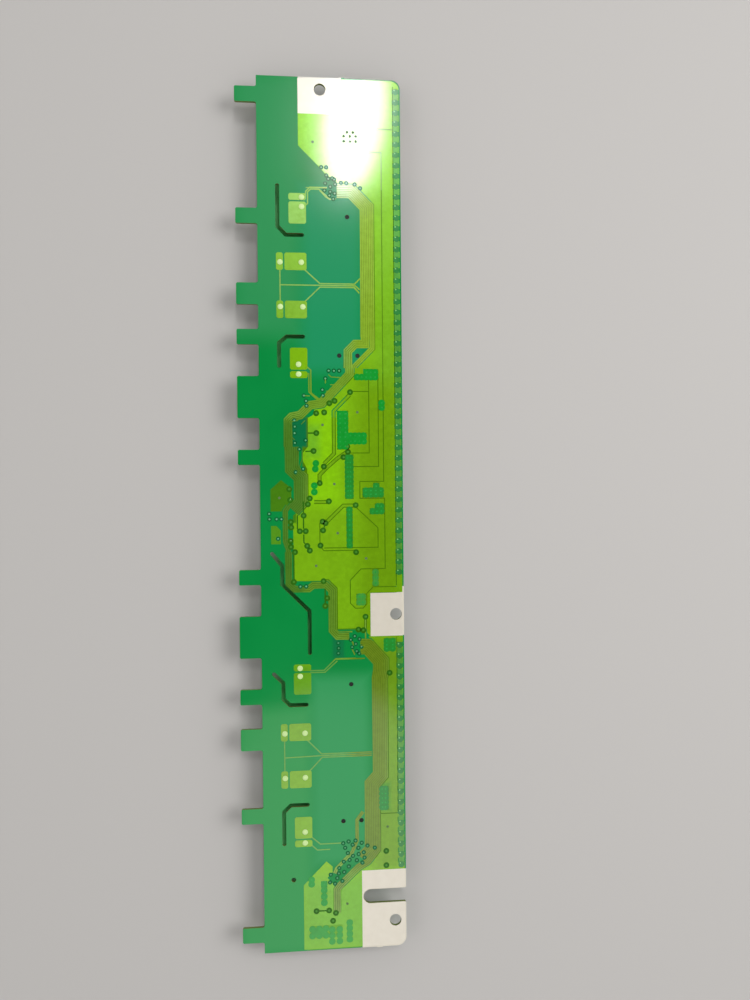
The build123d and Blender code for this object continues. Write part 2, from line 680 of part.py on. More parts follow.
def moulded_body(middle, width, length, height):
    """A package body under the board, its four lower edges drafted."""
    with BuildSketch(Plane((*middle, board_bottom))) as upper_half:
        Rectangle(width, length)
    extrude(upper_half.sketch, amount=-height / 2)
    with BuildSketch(Plane((*middle, board_bottom - height / 2))) as lower_half:
        Rectangle(width, length)
    extrude(lower_half.sketch, amount=-height / 2, taper=package_taper)


def gull_leads(middle, width, height, count):
    """Two rows of leads beside a body, each a riser on a flat foot."""
    x, y = middle
    for side in (-1, 1):
        for along in range(count // 2):
            spot = y + (along - (count // 2 - 1) / 2) * lead_pitch
            root = (x + side * width / 2, spot, board_bottom)
            with BuildSketch(Plane(root, x_dir=(1, 0, 0), z_dir=(0, -1, 0))) as lead:
                block((0, -height / 2), (side * lead_thickness, 0))
                block((0, -lead_thickness), (side * (lead_thickness + lead_foot), 0))
            extrude(lead.sketch, amount=lead_width / 2, both=True)


control_size = (7.5, 12.8, 2.3, 20)
comparator_size = (3.9, 8.65, 1.6, 14)
mosfet_size = (3.9, 4.9, 1.5, 8)
packages = [
    ("control_ic", control_size, [at(42.8, 38)]),
    ("comparator_ics", comparator_size, [at(58.2, 9.5), at(58.2, -9)]),
    ("power_mosfets", mosfet_size, [at(25.4, 172.5), at(16.4, 172.5), at(31, 44.5), at(22.2, 40.2),
                                    at(27.8, 20.5), at(16, 12.3), at(14.6, -32), at(22.5, -174)]),
]
for name, (width, length, height, count), spots in packages:
    with BuildPart() as bodies:
        for spot in spots:
            moulded_body(spot, width, length, height)
    bodies.part.label = name
    export_step(bodies.part, f"parts/{name}.step")

    with BuildPart() as leads:
        for spot in spots:
            gull_leads(spot, width, height, count)
    leads.part.label = f"{name}_leads"
    export_step(leads.part, f"parts/{name}_leads.step")

# Input connector: a side-entry header at the right-hand edge
connector_length = (connector_pins_count - 1) * connector_pitch + 2 * connector_side
connector_face = right_edge - connector_setback
connector_x = connector_face - connector_depth / 2
connector_y = connector_row * row
connector_z = board_bottom - connector_height / 2
back_wall = connector_wall * 2
cavity_depth = connector_depth - back_wall
with BuildPart() as connector_housing:
    with BuildSketch(Plane((connector_x, connector_y, board_bottom - connector_height))):
        Rectangle(connector_depth, connector_length)
    extrude(amount=connector_height)
    mouth_plane = Plane((connector_face, connector_y, connector_z), x_dir=(0, 1, 0), z_dir=(1, 0, 0))
    with BuildSketch(mouth_plane):
        Rectangle(connector_length - 2 * connector_wall, connector_height - 2 * connector_wall)
    extrude(amount=-cavity_depth, mode=Mode.SUBTRACT)
    with BuildSketch(mouth_plane):
        with Locations((0, -connector_height / 2)):
            Rectangle(connector_length / 3, 2 * connector_wall)
    extrude(amount=-cavity_depth / 2, mode=Mode.SUBTRACT)
    with BuildSketch(mouth_plane.offset(-cavity_depth)):
        with GridLocations(connector_pitch, 1, connector_pins_count, 1):
            Rectangle(connector_pin, connector_pin)
    extrude(amount=-back_wall, mode=Mode.SUBTRACT)
connector_housing.part.label = "connector_housing"
export_step(connector_housing.part, "parts/connector_housing.step")

with BuildPart() as connector_pins:
    with BuildSketch(mouth_plane.offset(-1.5 * connector_wall)):
        with GridLocations(connector_pitch, 1, connector_pins_count, 1):
            Rectangle(connector_pin, connector_pin)
    extrude(amount=-(connector_depth - 1.5 * connector_wall + connector_pin))
    tail_x = connector_face - connector_depth - connector_pin / 2
    with BuildSketch(Plane((tail_x, connector_y, connector_z - connector_pin / 2))):
        with GridLocations(1, connector_pitch, 1, connector_pins_count):
            Rectangle(connector_pin, connector_pin)
    extrude(amount=connector_height / 2 + connector_pin / 2)
    with BuildSketch(Plane((tail_x - connector_tail / 2, connector_y, board_bottom - connector_pin / 2))):
        with GridLocations(1, connector_pitch, 1, connector_pins_count):
            Rectangle(connector_tail, connector_pin)
    extrude(amount=connector_pin / 2)
connector_pins.part.label = "connector_pins"
export_step(connector_pins.part, "parts/connector_pins.step")

# Fuses and chip parts, each a body between two end caps
fuse_spots = [at(16, 206.5), at(16, 201)]
chip_capacitor_spots = [at(23.5 - 4.2 * i, 61.5 - 3.6 * j) for i in range(3) for j in range(2)]
chip_capacitor_spots += [at(40 - 4.2 * i, -25 - 3.6 * j) for i in range(4) for j in range(3)]
chip_resistor_spots = [at(45 - 4.2 * i, 12 - 3.6 * j) for i in range(3) for j in range(3)]
chip_resistor_spots += [at(27.5 - 4.2 * i, -52 - 3.6 * j) for i in range(3) for j in range(3)]


def middles(spots, length, width, height):
    """The bodies of chip parts, without their end caps."""
    with BuildSketch(Plane.XY.offset(board_bottom - height)) as bodies:
        with Locations(*spots):
            Rectangle(length, width)
    extrude(bodies.sketch, amount=height)


def end_caps(spots, reach, cap, width, height):
    """Both end caps of each chip part."""
    with BuildSketch(Plane.XY.offset(board_bottom - height)) as caps:
        with Locations(*spots):
            with Locations((-(reach - cap) / 2, 0), ((reach - cap) / 2, 0)):
                Rectangle(cap, width)
    extrude(caps.sketch, amount=height)


with BuildPart() as fuse_bodies:
    middles(fuse_spots, fuse_length - 2 * fuse_cap_length, fuse_width, fuse_height)
fuse_bodies.part.label = "fuse_bodies"
export_step(fuse_bodies.part, "parts/fuse_bodies.step")

with BuildPart() as fuse_caps:
    end_caps(fuse_spots, fuse_length, fuse_cap_length, fuse_width, fuse_height)
fuse_caps.part.label = "fuse_caps"
export_step(fuse_caps.part, "parts/fuse_caps.step")

with BuildPart() as chip_capacitors:
    middles(chip_capacitor_spots, chip_length - 2 * chip_end, chip_width, chip_height)
chip_capacitors.part.label = "chip_capacitors"
export_step(chip_capacitors.part, "parts/chip_capacitors.step")

with BuildPart() as chip_resistors:
    middles(chip_resistor_spots, chip_length - 2 * chip_end, chip_width, chip_height * 0.6)
chip_resistors.part.label = "chip_resistors"
export_step(chip_resistors.part, "parts/chip_resistors.step")

with BuildPart() as chip_end_caps:
    end_caps(chip_capacitor_spots, chip_length, chip_end, chip_width, chip_height)
    end_caps(chip_resistor_spots, chip_length, chip_end, chip_width, chip_height * 0.6)
chip_end_caps.part.label = "chip_end_caps"
export_step(chip_end_caps.part, "parts/chip_end_caps.step")

# Feedback diodes, two to each transformer, with one lead against two
diode_spots = [(x + 17.5, y + side * 8) for (x, y), _ in transformers for side in (-1, 1)]
diode_lead_spots = [(-0.95, 1), (0.95, 1), (0, -1)]
with BuildPart() as feedback_diodes:
    for spot in diode_spots:
        moulded_body(spot, diode_length, diode_width, diode_height)
feedback_diodes.part.label = "feedback_diodes"
export_step(feedback_diodes.part, "parts/feedback_diodes.step")

with BuildPart() as diode_leads:
    with BuildSketch(Plane.XY.offset(board_bottom - lead_thickness)):
        with Locations(*diode_spots):
            for px, side in diode_lead_spots:
                with Locations((px, side * (diode_width + lead_foot) / 2)):
                    Rectangle(lead_width, lead_foot)
    extrude(amount=lead_thickness)
diode_leads.part.label = "diode_leads"
export_step(diode_leads.part, "parts/diode_leads.step")
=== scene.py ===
import json
import math

import bpy
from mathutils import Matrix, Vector


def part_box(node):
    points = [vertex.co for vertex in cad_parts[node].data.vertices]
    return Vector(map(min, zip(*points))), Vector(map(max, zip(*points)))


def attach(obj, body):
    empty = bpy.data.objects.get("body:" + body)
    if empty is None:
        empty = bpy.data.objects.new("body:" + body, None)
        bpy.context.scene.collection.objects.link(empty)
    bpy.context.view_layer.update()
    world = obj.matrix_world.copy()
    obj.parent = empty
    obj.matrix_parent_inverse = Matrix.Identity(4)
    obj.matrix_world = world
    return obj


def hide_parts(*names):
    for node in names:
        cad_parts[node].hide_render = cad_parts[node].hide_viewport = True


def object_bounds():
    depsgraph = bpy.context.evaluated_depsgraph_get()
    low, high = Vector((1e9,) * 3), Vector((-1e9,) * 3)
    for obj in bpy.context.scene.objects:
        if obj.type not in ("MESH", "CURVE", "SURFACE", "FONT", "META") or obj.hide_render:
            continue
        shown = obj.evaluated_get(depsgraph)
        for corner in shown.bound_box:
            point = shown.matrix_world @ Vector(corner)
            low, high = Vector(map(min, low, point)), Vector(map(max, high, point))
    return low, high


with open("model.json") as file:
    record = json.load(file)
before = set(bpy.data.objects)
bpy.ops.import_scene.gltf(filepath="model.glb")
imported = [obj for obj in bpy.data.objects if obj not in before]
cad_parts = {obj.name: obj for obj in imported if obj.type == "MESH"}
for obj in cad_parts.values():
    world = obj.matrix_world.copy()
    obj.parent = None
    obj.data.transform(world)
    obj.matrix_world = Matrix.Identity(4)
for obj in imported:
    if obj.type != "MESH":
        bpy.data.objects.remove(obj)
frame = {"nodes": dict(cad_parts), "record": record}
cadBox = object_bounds()
nodes = frame["nodes"]
mm = 0.001

# Places are in mm from the middle of the board's own box, heights are its two faces and the copper on them
boardLow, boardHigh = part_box("circuit_board")
boardMiddle = (boardLow + boardHigh) / 2
solderFace = boardHigh.z
underFace = boardLow.z
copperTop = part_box("copper_pours")[1].z
copperStep = (copperTop - solderFace) / mm
rightEdge = (boardHigh.x - boardMiddle.x) / mm
print("frame loaded with", len(nodes), "nodes")


def spot(x, y, height=0.0):
    return Vector((boardMiddle.x + x * mm, boardMiddle.y + y * mm, height))


def linear(hexColour):
    # a colour as it is written, turned into the linear light that shaders take
    parts = [int(hexColour[i:i + 2], 16) / 255 for i in (1, 3, 5)]
    return [c / 12.92 if c <= 0.04045 else ((c + 0.055) / 1.055) ** 2.4 for c in parts] + [1.0]


def addNode(tree, kind, sockets=None, **settings):
    # a socket, by name or number, takes a value, a hex colour or another node's output
    node = tree.nodes.new(kind)
    for name, value in settings.items():
        setattr(node, name, value)
    for key, value in (sockets or {}).items():
        if isinstance(value, bpy.types.NodeSocket):
            tree.links.new(value, node.inputs[key])
        else:
            node.inputs[key].default_value = linear(value) if isinstance(value, str) else value
    return node


def startMaterial(name, colour, roughness, **finish):
    # a Principled shader with its whole-surface values, and the object's own coordinates
    material = bpy.data.materials.new(name)
    material.use_nodes = True
    tree = material.node_tree
    shader = tree.nodes["Principled BSDF"]
    shader.inputs["Base Color"].default_value = linear(colour)
    shader.inputs["Roughness"].default_value = roughness
    for socket, value in finish.items():
        shader.inputs[socket.replace("_", " ")].default_value = value
    space = addNode(tree, "ShaderNodeTexCoord")
    return material, tree, shader, space.outputs["Object"]


def roughen(tree, shader, space, grain, depth):
    # small unevenness, its grain and depth in mm; the noise is handed back for the colour to use
    noise = addNode(tree, "ShaderNodeTexNoise", {"Vector": space, "Scale": 1 / (grain * mm)})
    bump = addNode(tree, "ShaderNodeBump", {"Height": noise.outputs["Fac"], "Distance": depth * mm})
    tree.links.new(bump.outputs["Normal"], shader.inputs["Normal"])
    return noise.outputs["Fac"]


def tintFields(tree, space, colour, fields):
    # each field is a rectangle of the board: low corner, high corner, colour and how soft its edge is, in mm
    parts = addNode(tree, "ShaderNodeSeparateXYZ", {"Vector": space})
    for low, high, tint, softness in fields:
        away = []
        for axis in (0, 1):
            centre = boardMiddle[axis] + (low[axis] + high[axis]) / 2 * mm
            half = (high[axis] - low[axis]) / 2 * mm
            offset = addNode(tree, "ShaderNodeMath", {0: parts.outputs[axis], 1: centre},
                             operation="SUBTRACT")
            size = addNode(tree, "ShaderNodeMath", {0: offset.outputs[0]}, operation="ABSOLUTE")
            over = addNode(tree, "ShaderNodeMath", {0: size.outputs[0], 1: half}, operation="SUBTRACT")
            away.append(over.outputs[0])
        furthest = addNode(tree, "ShaderNodeMath", {0: away[0], 1: away[1]}, operation="MAXIMUM")
        inside = addNode(tree, "ShaderNodeMapRange", {
            "Value": furthest.outputs[0], "From Min": -softness * mm, "From Max": softness * mm,
            "To Min": 1.0, "To Max": 0.0}, interpolation_type="SMOOTHSTEP")
        mixed = addNode(tree, "ShaderNodeMix", {0: inside.outputs["Result"], 6: colour, 7: tint},
                        data_type="RGBA")
        colour = mixed.outputs[2]
    return colour


# A Wave Texture whose scale is this over a length has its bands 0.63 of that length apart
bandScale = 0.5

# Glass-epoxy laminate, routed and coated with green liquid photo-imaged solder mask: a satin deep green
# on both faces, the raw straw-coloured laminate on the routed edges. Pitches and depths are in mm
laminate = {
    "mask": "#0A893F",
    "maskDeep": "#04843B",
    "edge": "#7E8A4C",
    "edgeDark": "#4E5E30",
    "weave": 1.1,
    "weaveDepth": 0.004,
    "fibre": 0.4,
    "fibreWander": 3.0,
    "blotch": 38.0,
    "blotchRange": (0.35, 0.65),
    "faceSlope": 0.5,  # a surface whose normal rises less than this is a routed edge
    "fields": [
        # the first two fields, paler green at the top-left and the bottom-left, are a painted haze of
        # reflected light
        ((-44, 92), (-9, 226), "#2C9052", 9.0),
        ((-44, -226), (-6, -98), "#349650", 6.0),
        ((-9, 74), (22, 169), "#1E905C", 6.0),
        ((-6, -180), (24, -82), "#309656", 5.0),
        ((-9.5, -33), (38, 51), "#4C7A04", 0.6),
        ((4, -58.5), (38, -33), "#4C7A04", 0.6),
        ((13, 51), (38, 74), "#4C7A04", 0.6),
        ((27, 74), (38, 168), "#5C8C14", 0.6),
        ((23, 168), (38, 224), "#7CA058", 0.6),
        ((26, -183), (38, -62), "#4E7A14", 0.6),
        ((-9, -224), (18.5, -192), "#6CAA32", 0.6),
        ((-17, 36), (-7.2, 51), "#0A7040", 0.8),
        ((5, -73), (11, -61), "#0C7440", 1.0),
        ((38, -183), (41.4, -62.5), "#3A8A3A", 0.4),
        ((38, -36), (41.4, 222), "#3A8A3A", 0.4),
        ((19.2, -225), (43, -184.2), "#DCD5C4", 0.2),
        ((38.5, -62), (43, -36.5), "#DCD5C4", 0.2),
        ((-10, 206.3), (12, 225), "#E4E0D4", 0.2),
    ],
}


def makeLaminate():
    material, tree, shader, space = startMaterial("solderMaskOnLaminate", laminate["mask"], 0.45,
                                                  Coat_Weight=0.5, Coat_Roughness=0.14, Coat_IOR=1.5,
                                                  Specular_IOR_Level=0.0)
    blotch = addNode(tree, "ShaderNodeTexNoise", {"Vector": space, "Scale": 1 / (laminate["blotch"] * mm)})
    least, most = laminate["blotchRange"]
    depth = addNode(tree, "ShaderNodeMapRange", {"Value": blotch.outputs["Fac"], "From Min": least,
                                                 "From Max": most})
    mask = addNode(tree, "ShaderNodeMix", {0: depth.outputs["Result"], 6: laminate["mask"],
                                           7: laminate["maskDeep"]}, data_type="RGBA")
    tinted = tintFields(tree, space, mask.outputs[2], laminate["fields"])
    fibre = addNode(tree, "ShaderNodeTexWave", {
        "Vector": space, "Scale": bandScale / (laminate["fibre"] * mm),
        "Distortion": laminate["fibreWander"]}, bands_direction="Z")
    edge = addNode(tree, "ShaderNodeMix", {0: fibre.outputs["Fac"], 6: laminate["edge"],
                                           7: laminate["edgeDark"]}, data_type="RGBA")
    # the fields are for the solder side only, and neither face's mask is on the edges
    slope = laminate["faceSlope"]
    normal = addNode(tree, "ShaderNodeSeparateXYZ", {0: tree.nodes["Texture Coordinate"].outputs["Normal"]})
    facingUp = addNode(tree, "ShaderNodeMath", {0: normal.outputs["Z"], 1: slope}, operation="GREATER_THAN")
    face = addNode(tree, "ShaderNodeMix", {0: facingUp.outputs[0], 6: mask.outputs[2], 7: tinted},
                   data_type="RGBA")
    upright = addNode(tree, "ShaderNodeMath", {0: normal.outputs["Z"]}, operation="ABSOLUTE")
    onFace = addNode(tree, "ShaderNodeMath", {0: upright.outputs[0], 1: slope}, operation="GREATER_THAN")
    whole = addNode(tree, "ShaderNodeMix", {0: onFace.outputs[0], 6: edge.outputs[2], 7: face.outputs[2]},
                    data_type="RGBA")
    tree.links.new(whole.outputs[2], shader.inputs["Base Color"])
    yarns = {"Vector": space, "Scale": bandScale / (laminate["weave"] * mm)}
    warp = addNode(tree, "ShaderNodeTexWave", yarns, bands_direction="X")
    weft = addNode(tree, "ShaderNodeTexWave", yarns, bands_direction="Y")
    cloth = addNode(tree, "ShaderNodeMath", {0: warp.outputs["Fac"], 1: weft.outputs["Fac"]},
                    operation="MULTIPLY")
    bump = addNode(tree, "ShaderNodeBump", {"Height": cloth.outputs[0],
                                            "Distance": laminate["weaveDepth"] * mm})
    tree.links.new(bump.outputs["Normal"], shader.inputs["Normal"])
    return material


# Rolled copper under dried mask: its grain and its blotches in mm, then fields where it is painted brighter
# or duller than the rest, a painted glint and painted shade standing in for how the light falls across the
# board
maskedCopper = {"grain": 2.2, "grainDepth": 0.002, "blotch": 30, "blotchRange": (0.15, 0.4)}
pourPaintedLight = [
    ((-8, 6), (10, 56), "#94DA0A", 6.0),
    ((-7, 31), (-1, 47), "#7CC428", 3.0),
    ((19, -62), (42, 76), "#77AA06", 7.0),
    ((-27, -3), (-13, 20), "#4C8A10", 0.5),
    ((-27, -15), (-19, -3), "#5CA01E", 0.5),
    ((28, 70), (42, 225), "#7CBA22", 10.0),
    ((-12, 168), (34, 225), "#8ACC38", 12.0),
    ((26, -184), (42, -64), "#74A418", 6.0),
    ((27, -153), (34, -139), "#4A9A24", 2.0),
    ((-12, -225), (23, -186), "#78BA30", 6.0),
    ((-24, 142), (-5, 170), "#90C45C", 2.0),
    ((-24, 96), (-5, 136), "#88BE34", 2.0),
    ((-24, -98), (-5, -76), "#6CAC14", 2.0),
    ((-24, -176), (-5, -98), "#80B428", 2.0),
]
# the same painted glint and shade on the tracks
trackPaintedLight = [
    ((-22, 74), (20, 172), "#8ABA58", 2.0),
    ((-8, 50), (20, 76), "#7CA82C", 5.0),
    ((16, 76), (34, 170), "#90B830", 5.0),
    ((-24, -62), (-8, 50), "#568A28", 3.0),
    ((-8, -62), (14, -30), "#6E9C2A", 3.0),
    ((-26, -176), (14, -75), "#6CA84A", 2.0),
    ((14, -184), (34, -62), "#72921C", 4.0),
    ((0, -205), (12, -184), "#7A9C3C", 3.0),
]
# and on the mask between the tracks, painted lighter and darker as light and shade
bedPaintedLight = [
    ((-8, 50), (20, 76), "#6C9426", 5.0),
    ((16, 76), (34, 170), "#7C9C24", 5.0),
    ((-24, -62), (-8, 50), "#47761F", 3.0),
    ((4, -184), (34, -62), "#648018", 4.0),
]


def makeMaskedCopper(name, colour, deepColour, fields=(), metallic=0.25, coat=1.0):
    # solder mask over copper: smoother than on bare laminate, and lit from below, so it glints yellow-green
    material, tree, shader, space = startMaterial(name, colour, 0.34, Metallic=metallic, Coat_Weight=coat,
                                                  Coat_Roughness=0.1, Coat_IOR=1.5, Specular_IOR_Level=0.0)
    noise = roughen(tree, shader, space, maskedCopper["grain"], maskedCopper["grainDepth"])
    blotch = addNode(tree, "ShaderNodeTexNoise", {"Vector": space,
                                                  "Scale": 1 / (maskedCopper["blotch"] * mm)})
    both = addNode(tree, "ShaderNodeMath", {0: noise, 1: blotch.outputs["Fac"]}, operation="MULTIPLY")
    least, most = maskedCopper["blotchRange"]
    spread = addNode(tree, "ShaderNodeMapRange", {"Value": both.outputs[0], "From Min": least,
                                                  "From Max": most})
    tinted = tintFields(tree, space, colour, fields)
    shaded = addNode(tree, "ShaderNodeMix", {0: 1.0, 6: tinted, 7: deepColour}, data_type="RGBA",
                     blend_type="MULTIPLY")
    mix = addNode(tree, "ShaderNodeMix", {0: spread.outputs["Result"], 6: tinted, 7: shaded.outputs[2]},
                  data_type="RGBA")
    tree.links.new(mix.outputs[2], shader.inputs["Base Color"])
    return material


def makeGrained(name, colour, deepColour, roughness, grain, depth, **finish):
    # one stuff with a fine grain, in mm, that also varies its colour
    material, tree, shader, space = startMaterial(name, colour, roughness, **finish)
    noise = roughen(tree, shader, space, grain, depth)
    mix = addNode(tree, "ShaderNodeMix", {0: noise, 6: colour, 7: deepColour}, data_type="RGBA")
    tree.links.new(mix.outputs[2], shader.inputs["Base Color"])
    return material


wireLook = {"wander": 0.4, "relief": 0.1}


def makeWire(name, colour, deepColour, pitch, roughness):
    # enamelled copper wire wound side by side along Y, its relief a share of the pitch in mm
    material, tree, shader, space = startMaterial(name, colour, roughness, Metallic=0.7, Coat_Weight=0.8,
                                                  Coat_Roughness=0.15)
    turns = addNode(tree, "ShaderNodeTexWave", {
        "Vector": space, "Scale": bandScale / (pitch * mm), "Distortion": wireLook["wander"]},
        bands_direction="Y")
    bump = addNode(tree, "ShaderNodeBump", {"Height": turns.outputs["Fac"],
                                            "Distance": wireLook["relief"] * pitch * mm})
    # the colour goes dark in the grooves between the turns: painted shade
    mix = addNode(tree, "ShaderNodeMix", {0: turns.outputs["Fac"], 6: deepColour, 7: colour},
                  data_type="RGBA")
    tree.links.new(mix.outputs[2], shader.inputs["Base Color"])
    tree.links.new(bump.outputs["Normal"], shader.inputs["Normal"])
    return material


finishes = {
    "board_laminate": makeLaminate(),
    # rolled copper etched to pours, tracks and high-voltage runs, under cured green mask: a gold-green gleam
    "masked_copper": makeMaskedCopper("solderMaskOnPour", "#84BE10", "#EEF0D8", pourPaintedLight),
    "masked_copper_under": makeMaskedCopper("solderMaskOnHighVoltageCopper", "#6FA52A", "#E4E8D0"),
    "masked_tracks": makeMaskedCopper("solderMaskOnTracks", "#7FB03C", "#EEF0DC", trackPaintedLight),
    # solder wiped level by hot air: pale and domed, with a soft gleam
    "solder_coat": makeGrained("levelledSolderCoat", "#D2EEA6", "#C6E496", 0.4, 3.0, 0.004, Metallic=0.1),
    # a bare land reflowed with tin under clear flux: cream grey, faintly puddled
    "tinned_land": makeGrained("reflowedTinLand", "#E6DFD0", "#DDD5C4", 0.36, 4.0, 0.006, Metallic=0.25,
                             Coat_Weight=0.4, Coat_Roughness=0.12),
    # flash gold over nickel on the lamp contacts: yellow metal, finely rolled
    "contact_gold": makeGrained("flashGoldContact", "#E0B45A", "#C99A42", 0.3, 0.8, 0.002, Metallic=1.0),
    # pressed and sintered ferrite: charcoal, matt and slightly pitted
    "ferrite": makeGrained("sinteredFerrite", "#1F1E20", "#2C2A2C", 0.7, 0.5, 0.02, Specular_IOR_Level=0.3),
    # compression-moulded phenolic: black with a dull sheen
    "bobbin_plastic": makeGrained("phenolicBobbin", "#121413", "#1C1F1D", 0.5, 0.7, 0.01,
                                Specular_IOR_Level=0.35),
    # enamelled copper wire, thick on the primary and fine on the secondaries: red-brown lacquered turns
    "primary_wire": makeWire("enamelledPrimaryWire", "#B5622B", "#5A2810", 0.5, 0.3),
    "secondary_wire": makeWire("enamelledSecondaryWire", "#A8562A", "#54240F", 0.3, 0.35),
    # electroplated tin on copper leads and end caps: light grey metal, softly drawn
    "tin_plate": makeGrained("tinPlatedCopper", "#C9C8C4", "#B2B1AC", 0.3, 0.4, 0.003, Metallic=1.0),
    # deep-drawn aluminium: bright silver with fine drawing marks
    "can_aluminium": makeGrained("drawnAluminiumCan", "#D3D5D8", "#C2C4C8", 0.28, 0.6, 0.002, Metallic=1.0),
    # glass-filled plastic under the cans: black, dry looking
    "base_plastic": makeGrained("glassFilledPlasticBase", "#1B1B1D", "#28282B", 0.5, 0.5, 0.01),
    # transfer-moulded epoxy with a spark-eroded skin: near black, matt
    "moulded_epoxy": makeGrained("mouldedEpoxyPackage", "#1A1B1C", "#262728", 0.6, 0.25, 0.01),
    # injection-moulded nylon: warm white and a little translucent
    "connector_nylon": makeGrained("mouldedNylonHeader", "#E9E4D6", "#DED8C8", 0.45, 1.5, 0.008,
                                 Subsurface_Weight=0.15, Subsurface_Radius=(0.002, 0.0015, 0.001)),
    # glazed ceramic tube: off-white and smooth
    "fuse_ceramic": makeGrained("glazedCeramicFuse", "#E4E1D8", "#D6D2C6", 0.3, 0.8, 0.004),
    # fired barium titanate: tan with a fine grain
    "capacitor_ceramic": makeGrained("firedCapacitorCeramic", "#B08A5C", "#9C784C", 0.45, 0.3, 0.004),
    # printed and fired glass over the resistor film: black, glossy
    "resistor_glaze": makeGrained("resistorGlassGlaze", "#17181A", "#222326", 0.25, 0.4, 0.003),
}
for piece in frame["record"]["subparts"]:
    surface = nodes[piece["node"]].data
    surface.materials.clear()
    surface.materials.append(finishes[piece["material_slot"]])

# The same cured mask where it lies in the gaps. On bare laminate it has no metal under it and looks flat:
# sunk round a hole, pooled between two tracks, thin over a field of holes, and raised on a hole's own rim
gapMasks = {
    "ring": makeMaskedCopper("solderMaskInClearance", "#326E14", "#DCE4CC", metallic=0.0, coat=0.3),
    "laminateRing": makeMaskedCopper("solderMaskRoundHole", "#0E6A38", "#DCE4D8", metallic=0.0, coat=0.3),
    "field": makeMaskedCopper("solderMaskOverHoleField", "#149A30", "#E8F0E0", metallic=0.0, fields=[
        ((26, -156), (36, -138), "#268A36", 2.0), ((-12, -224), (16, -206), "#309C36", 2.0),
        ((11, -72), (40, 33), "#268E30", 2.0), ((15, -48), (33, -26), "#44983A", 2.0)]),
    "bed": makeMaskedCopper("solderMaskBetweenTracks", "#527E20", "#E0E4C8", bedPaintedLight, metallic=0.0),
    "wideTrack": makeMaskedCopper("solderMaskOnWideTrack", "#7AB014", "#E8ECD4", metallic=0.1),
    "pad": makeMaskedCopper("solderMaskOnHoleRim", "#4C8E30", "#E4EAD4", metallic=0.1, coat=0.6),
    "fieldPad": makeMaskedCopper("solderMaskOnFieldHole", "#24A444", "#E4EAD4", metallic=0.0),
    "paleDot": makeMaskedCopper("solderFilledHole", "#6CB888", "#E8F0E0", metallic=0.0, coat=0.6, fields=[
        ((-30, -225), (45, -40), "#4C9A6C", 4.0)]),
    "edgeFillHighlight": makeMaskedCopper("edgeHoleFillWithPaintedHighlight", "#86C878", "#E8F0E0", metallic=0.0),
    "island": makeMaskedCopper("solderMaskOnEdgeStrip", "#5CA644", "#E4EEDC", fields=[
        ((36, -186), (42, 90), "#569634", 20.0)]),
    "edgeRing": makeMaskedCopper("solderMaskRoundEdgeHole", "#388C46", "#DCE8D4", metallic=0.0, fields=[
        ((36, -186), (42, 90), "#317C38", 20.0)]),
}
# a flat dull olive disc on each small hole: painted shade standing in for the dark inside of the drilled hole
paintedHoleShade = makeGrained("paintedBarrelShade", "#5C7C44", "#4E6C36", 0.8, 0.2, 0.002)
print("surfaces made:", len(finishes) + len(gapMasks))


def startTree(name, sizes):
    # a Geometry Nodes tree with its named inputs; sizes gives each input's socket type
    tree = bpy.data.node_groups.new(name, "GeometryNodeTree")
    tree.interface.new_socket(name="Geometry", in_out="INPUT", socket_type="NodeSocketGeometry")
    for label, kind in sizes.items():
        tree.interface.new_socket(name=label, in_out="INPUT", socket_type=kind)
    tree.interface.new_socket(name="Material", in_out="INPUT", socket_type="NodeSocketMaterial")
    tree.interface.new_socket(name="Geometry", in_out="OUTPUT", socket_type="NodeSocketGeometry")
    return tree, addNode(tree, "NodeGroupInput").outputs


def endTree(tree, given, geometry):
    real = addNode(tree, "GeometryNodeRealizeInstances", {"Geometry": geometry})
    dressed = addNode(tree, "GeometryNodeSetMaterial", {"Geometry": real.outputs["Geometry"],
                                                        "Material": given["Material"]})
    addNode(tree, "NodeGroupOutput", {"Geometry": dressed.outputs["Geometry"]})
    return tree


def makeStudTree():
    # a low round stud on every point
    tree, given = startTree("studs", {"Sides": "NodeSocketInt", "Radius": "NodeSocketFloat",
                                      "Top Radius": "NodeSocketFloat", "Height": "NodeSocketFloat"})
    stud = addNode(tree, "GeometryNodeMeshCone", {
        "Vertices": given["Sides"], "Radius Top": given["Top Radius"],
        "Radius Bottom": given["Radius"], "Depth": given["Height"]})
    spread = addNode(tree, "GeometryNodeInstanceOnPoints", {"Points": given["Geometry"],
                                                            "Instance": stud.outputs["Mesh"]})
    return endTree(tree, given, spread.outputs["Instances"])


def makeDomeTree():
    # a ball flattened to a dome on every point, its lower half under the surface
    tree, given = startTree("domes", {"Segments": "NodeSocketInt", "Rings": "NodeSocketInt",
                                      "Radius": "NodeSocketFloat", "Flatten": "NodeSocketVector"})
    ball = addNode(tree, "GeometryNodeMeshUVSphere", {
        "Segments": given["Segments"], "Rings": given["Rings"], "Radius": given["Radius"]})
    smooth = addNode(tree, "GeometryNodeSetShadeSmooth", {"Geometry": ball.outputs["Mesh"]})
    spread = addNode(tree, "GeometryNodeInstanceOnPoints", {
        "Points": given["Geometry"], "Instance": smooth.outputs["Geometry"], "Scale": given["Flatten"]})
    return endTree(tree, given, spread.outputs["Instances"])


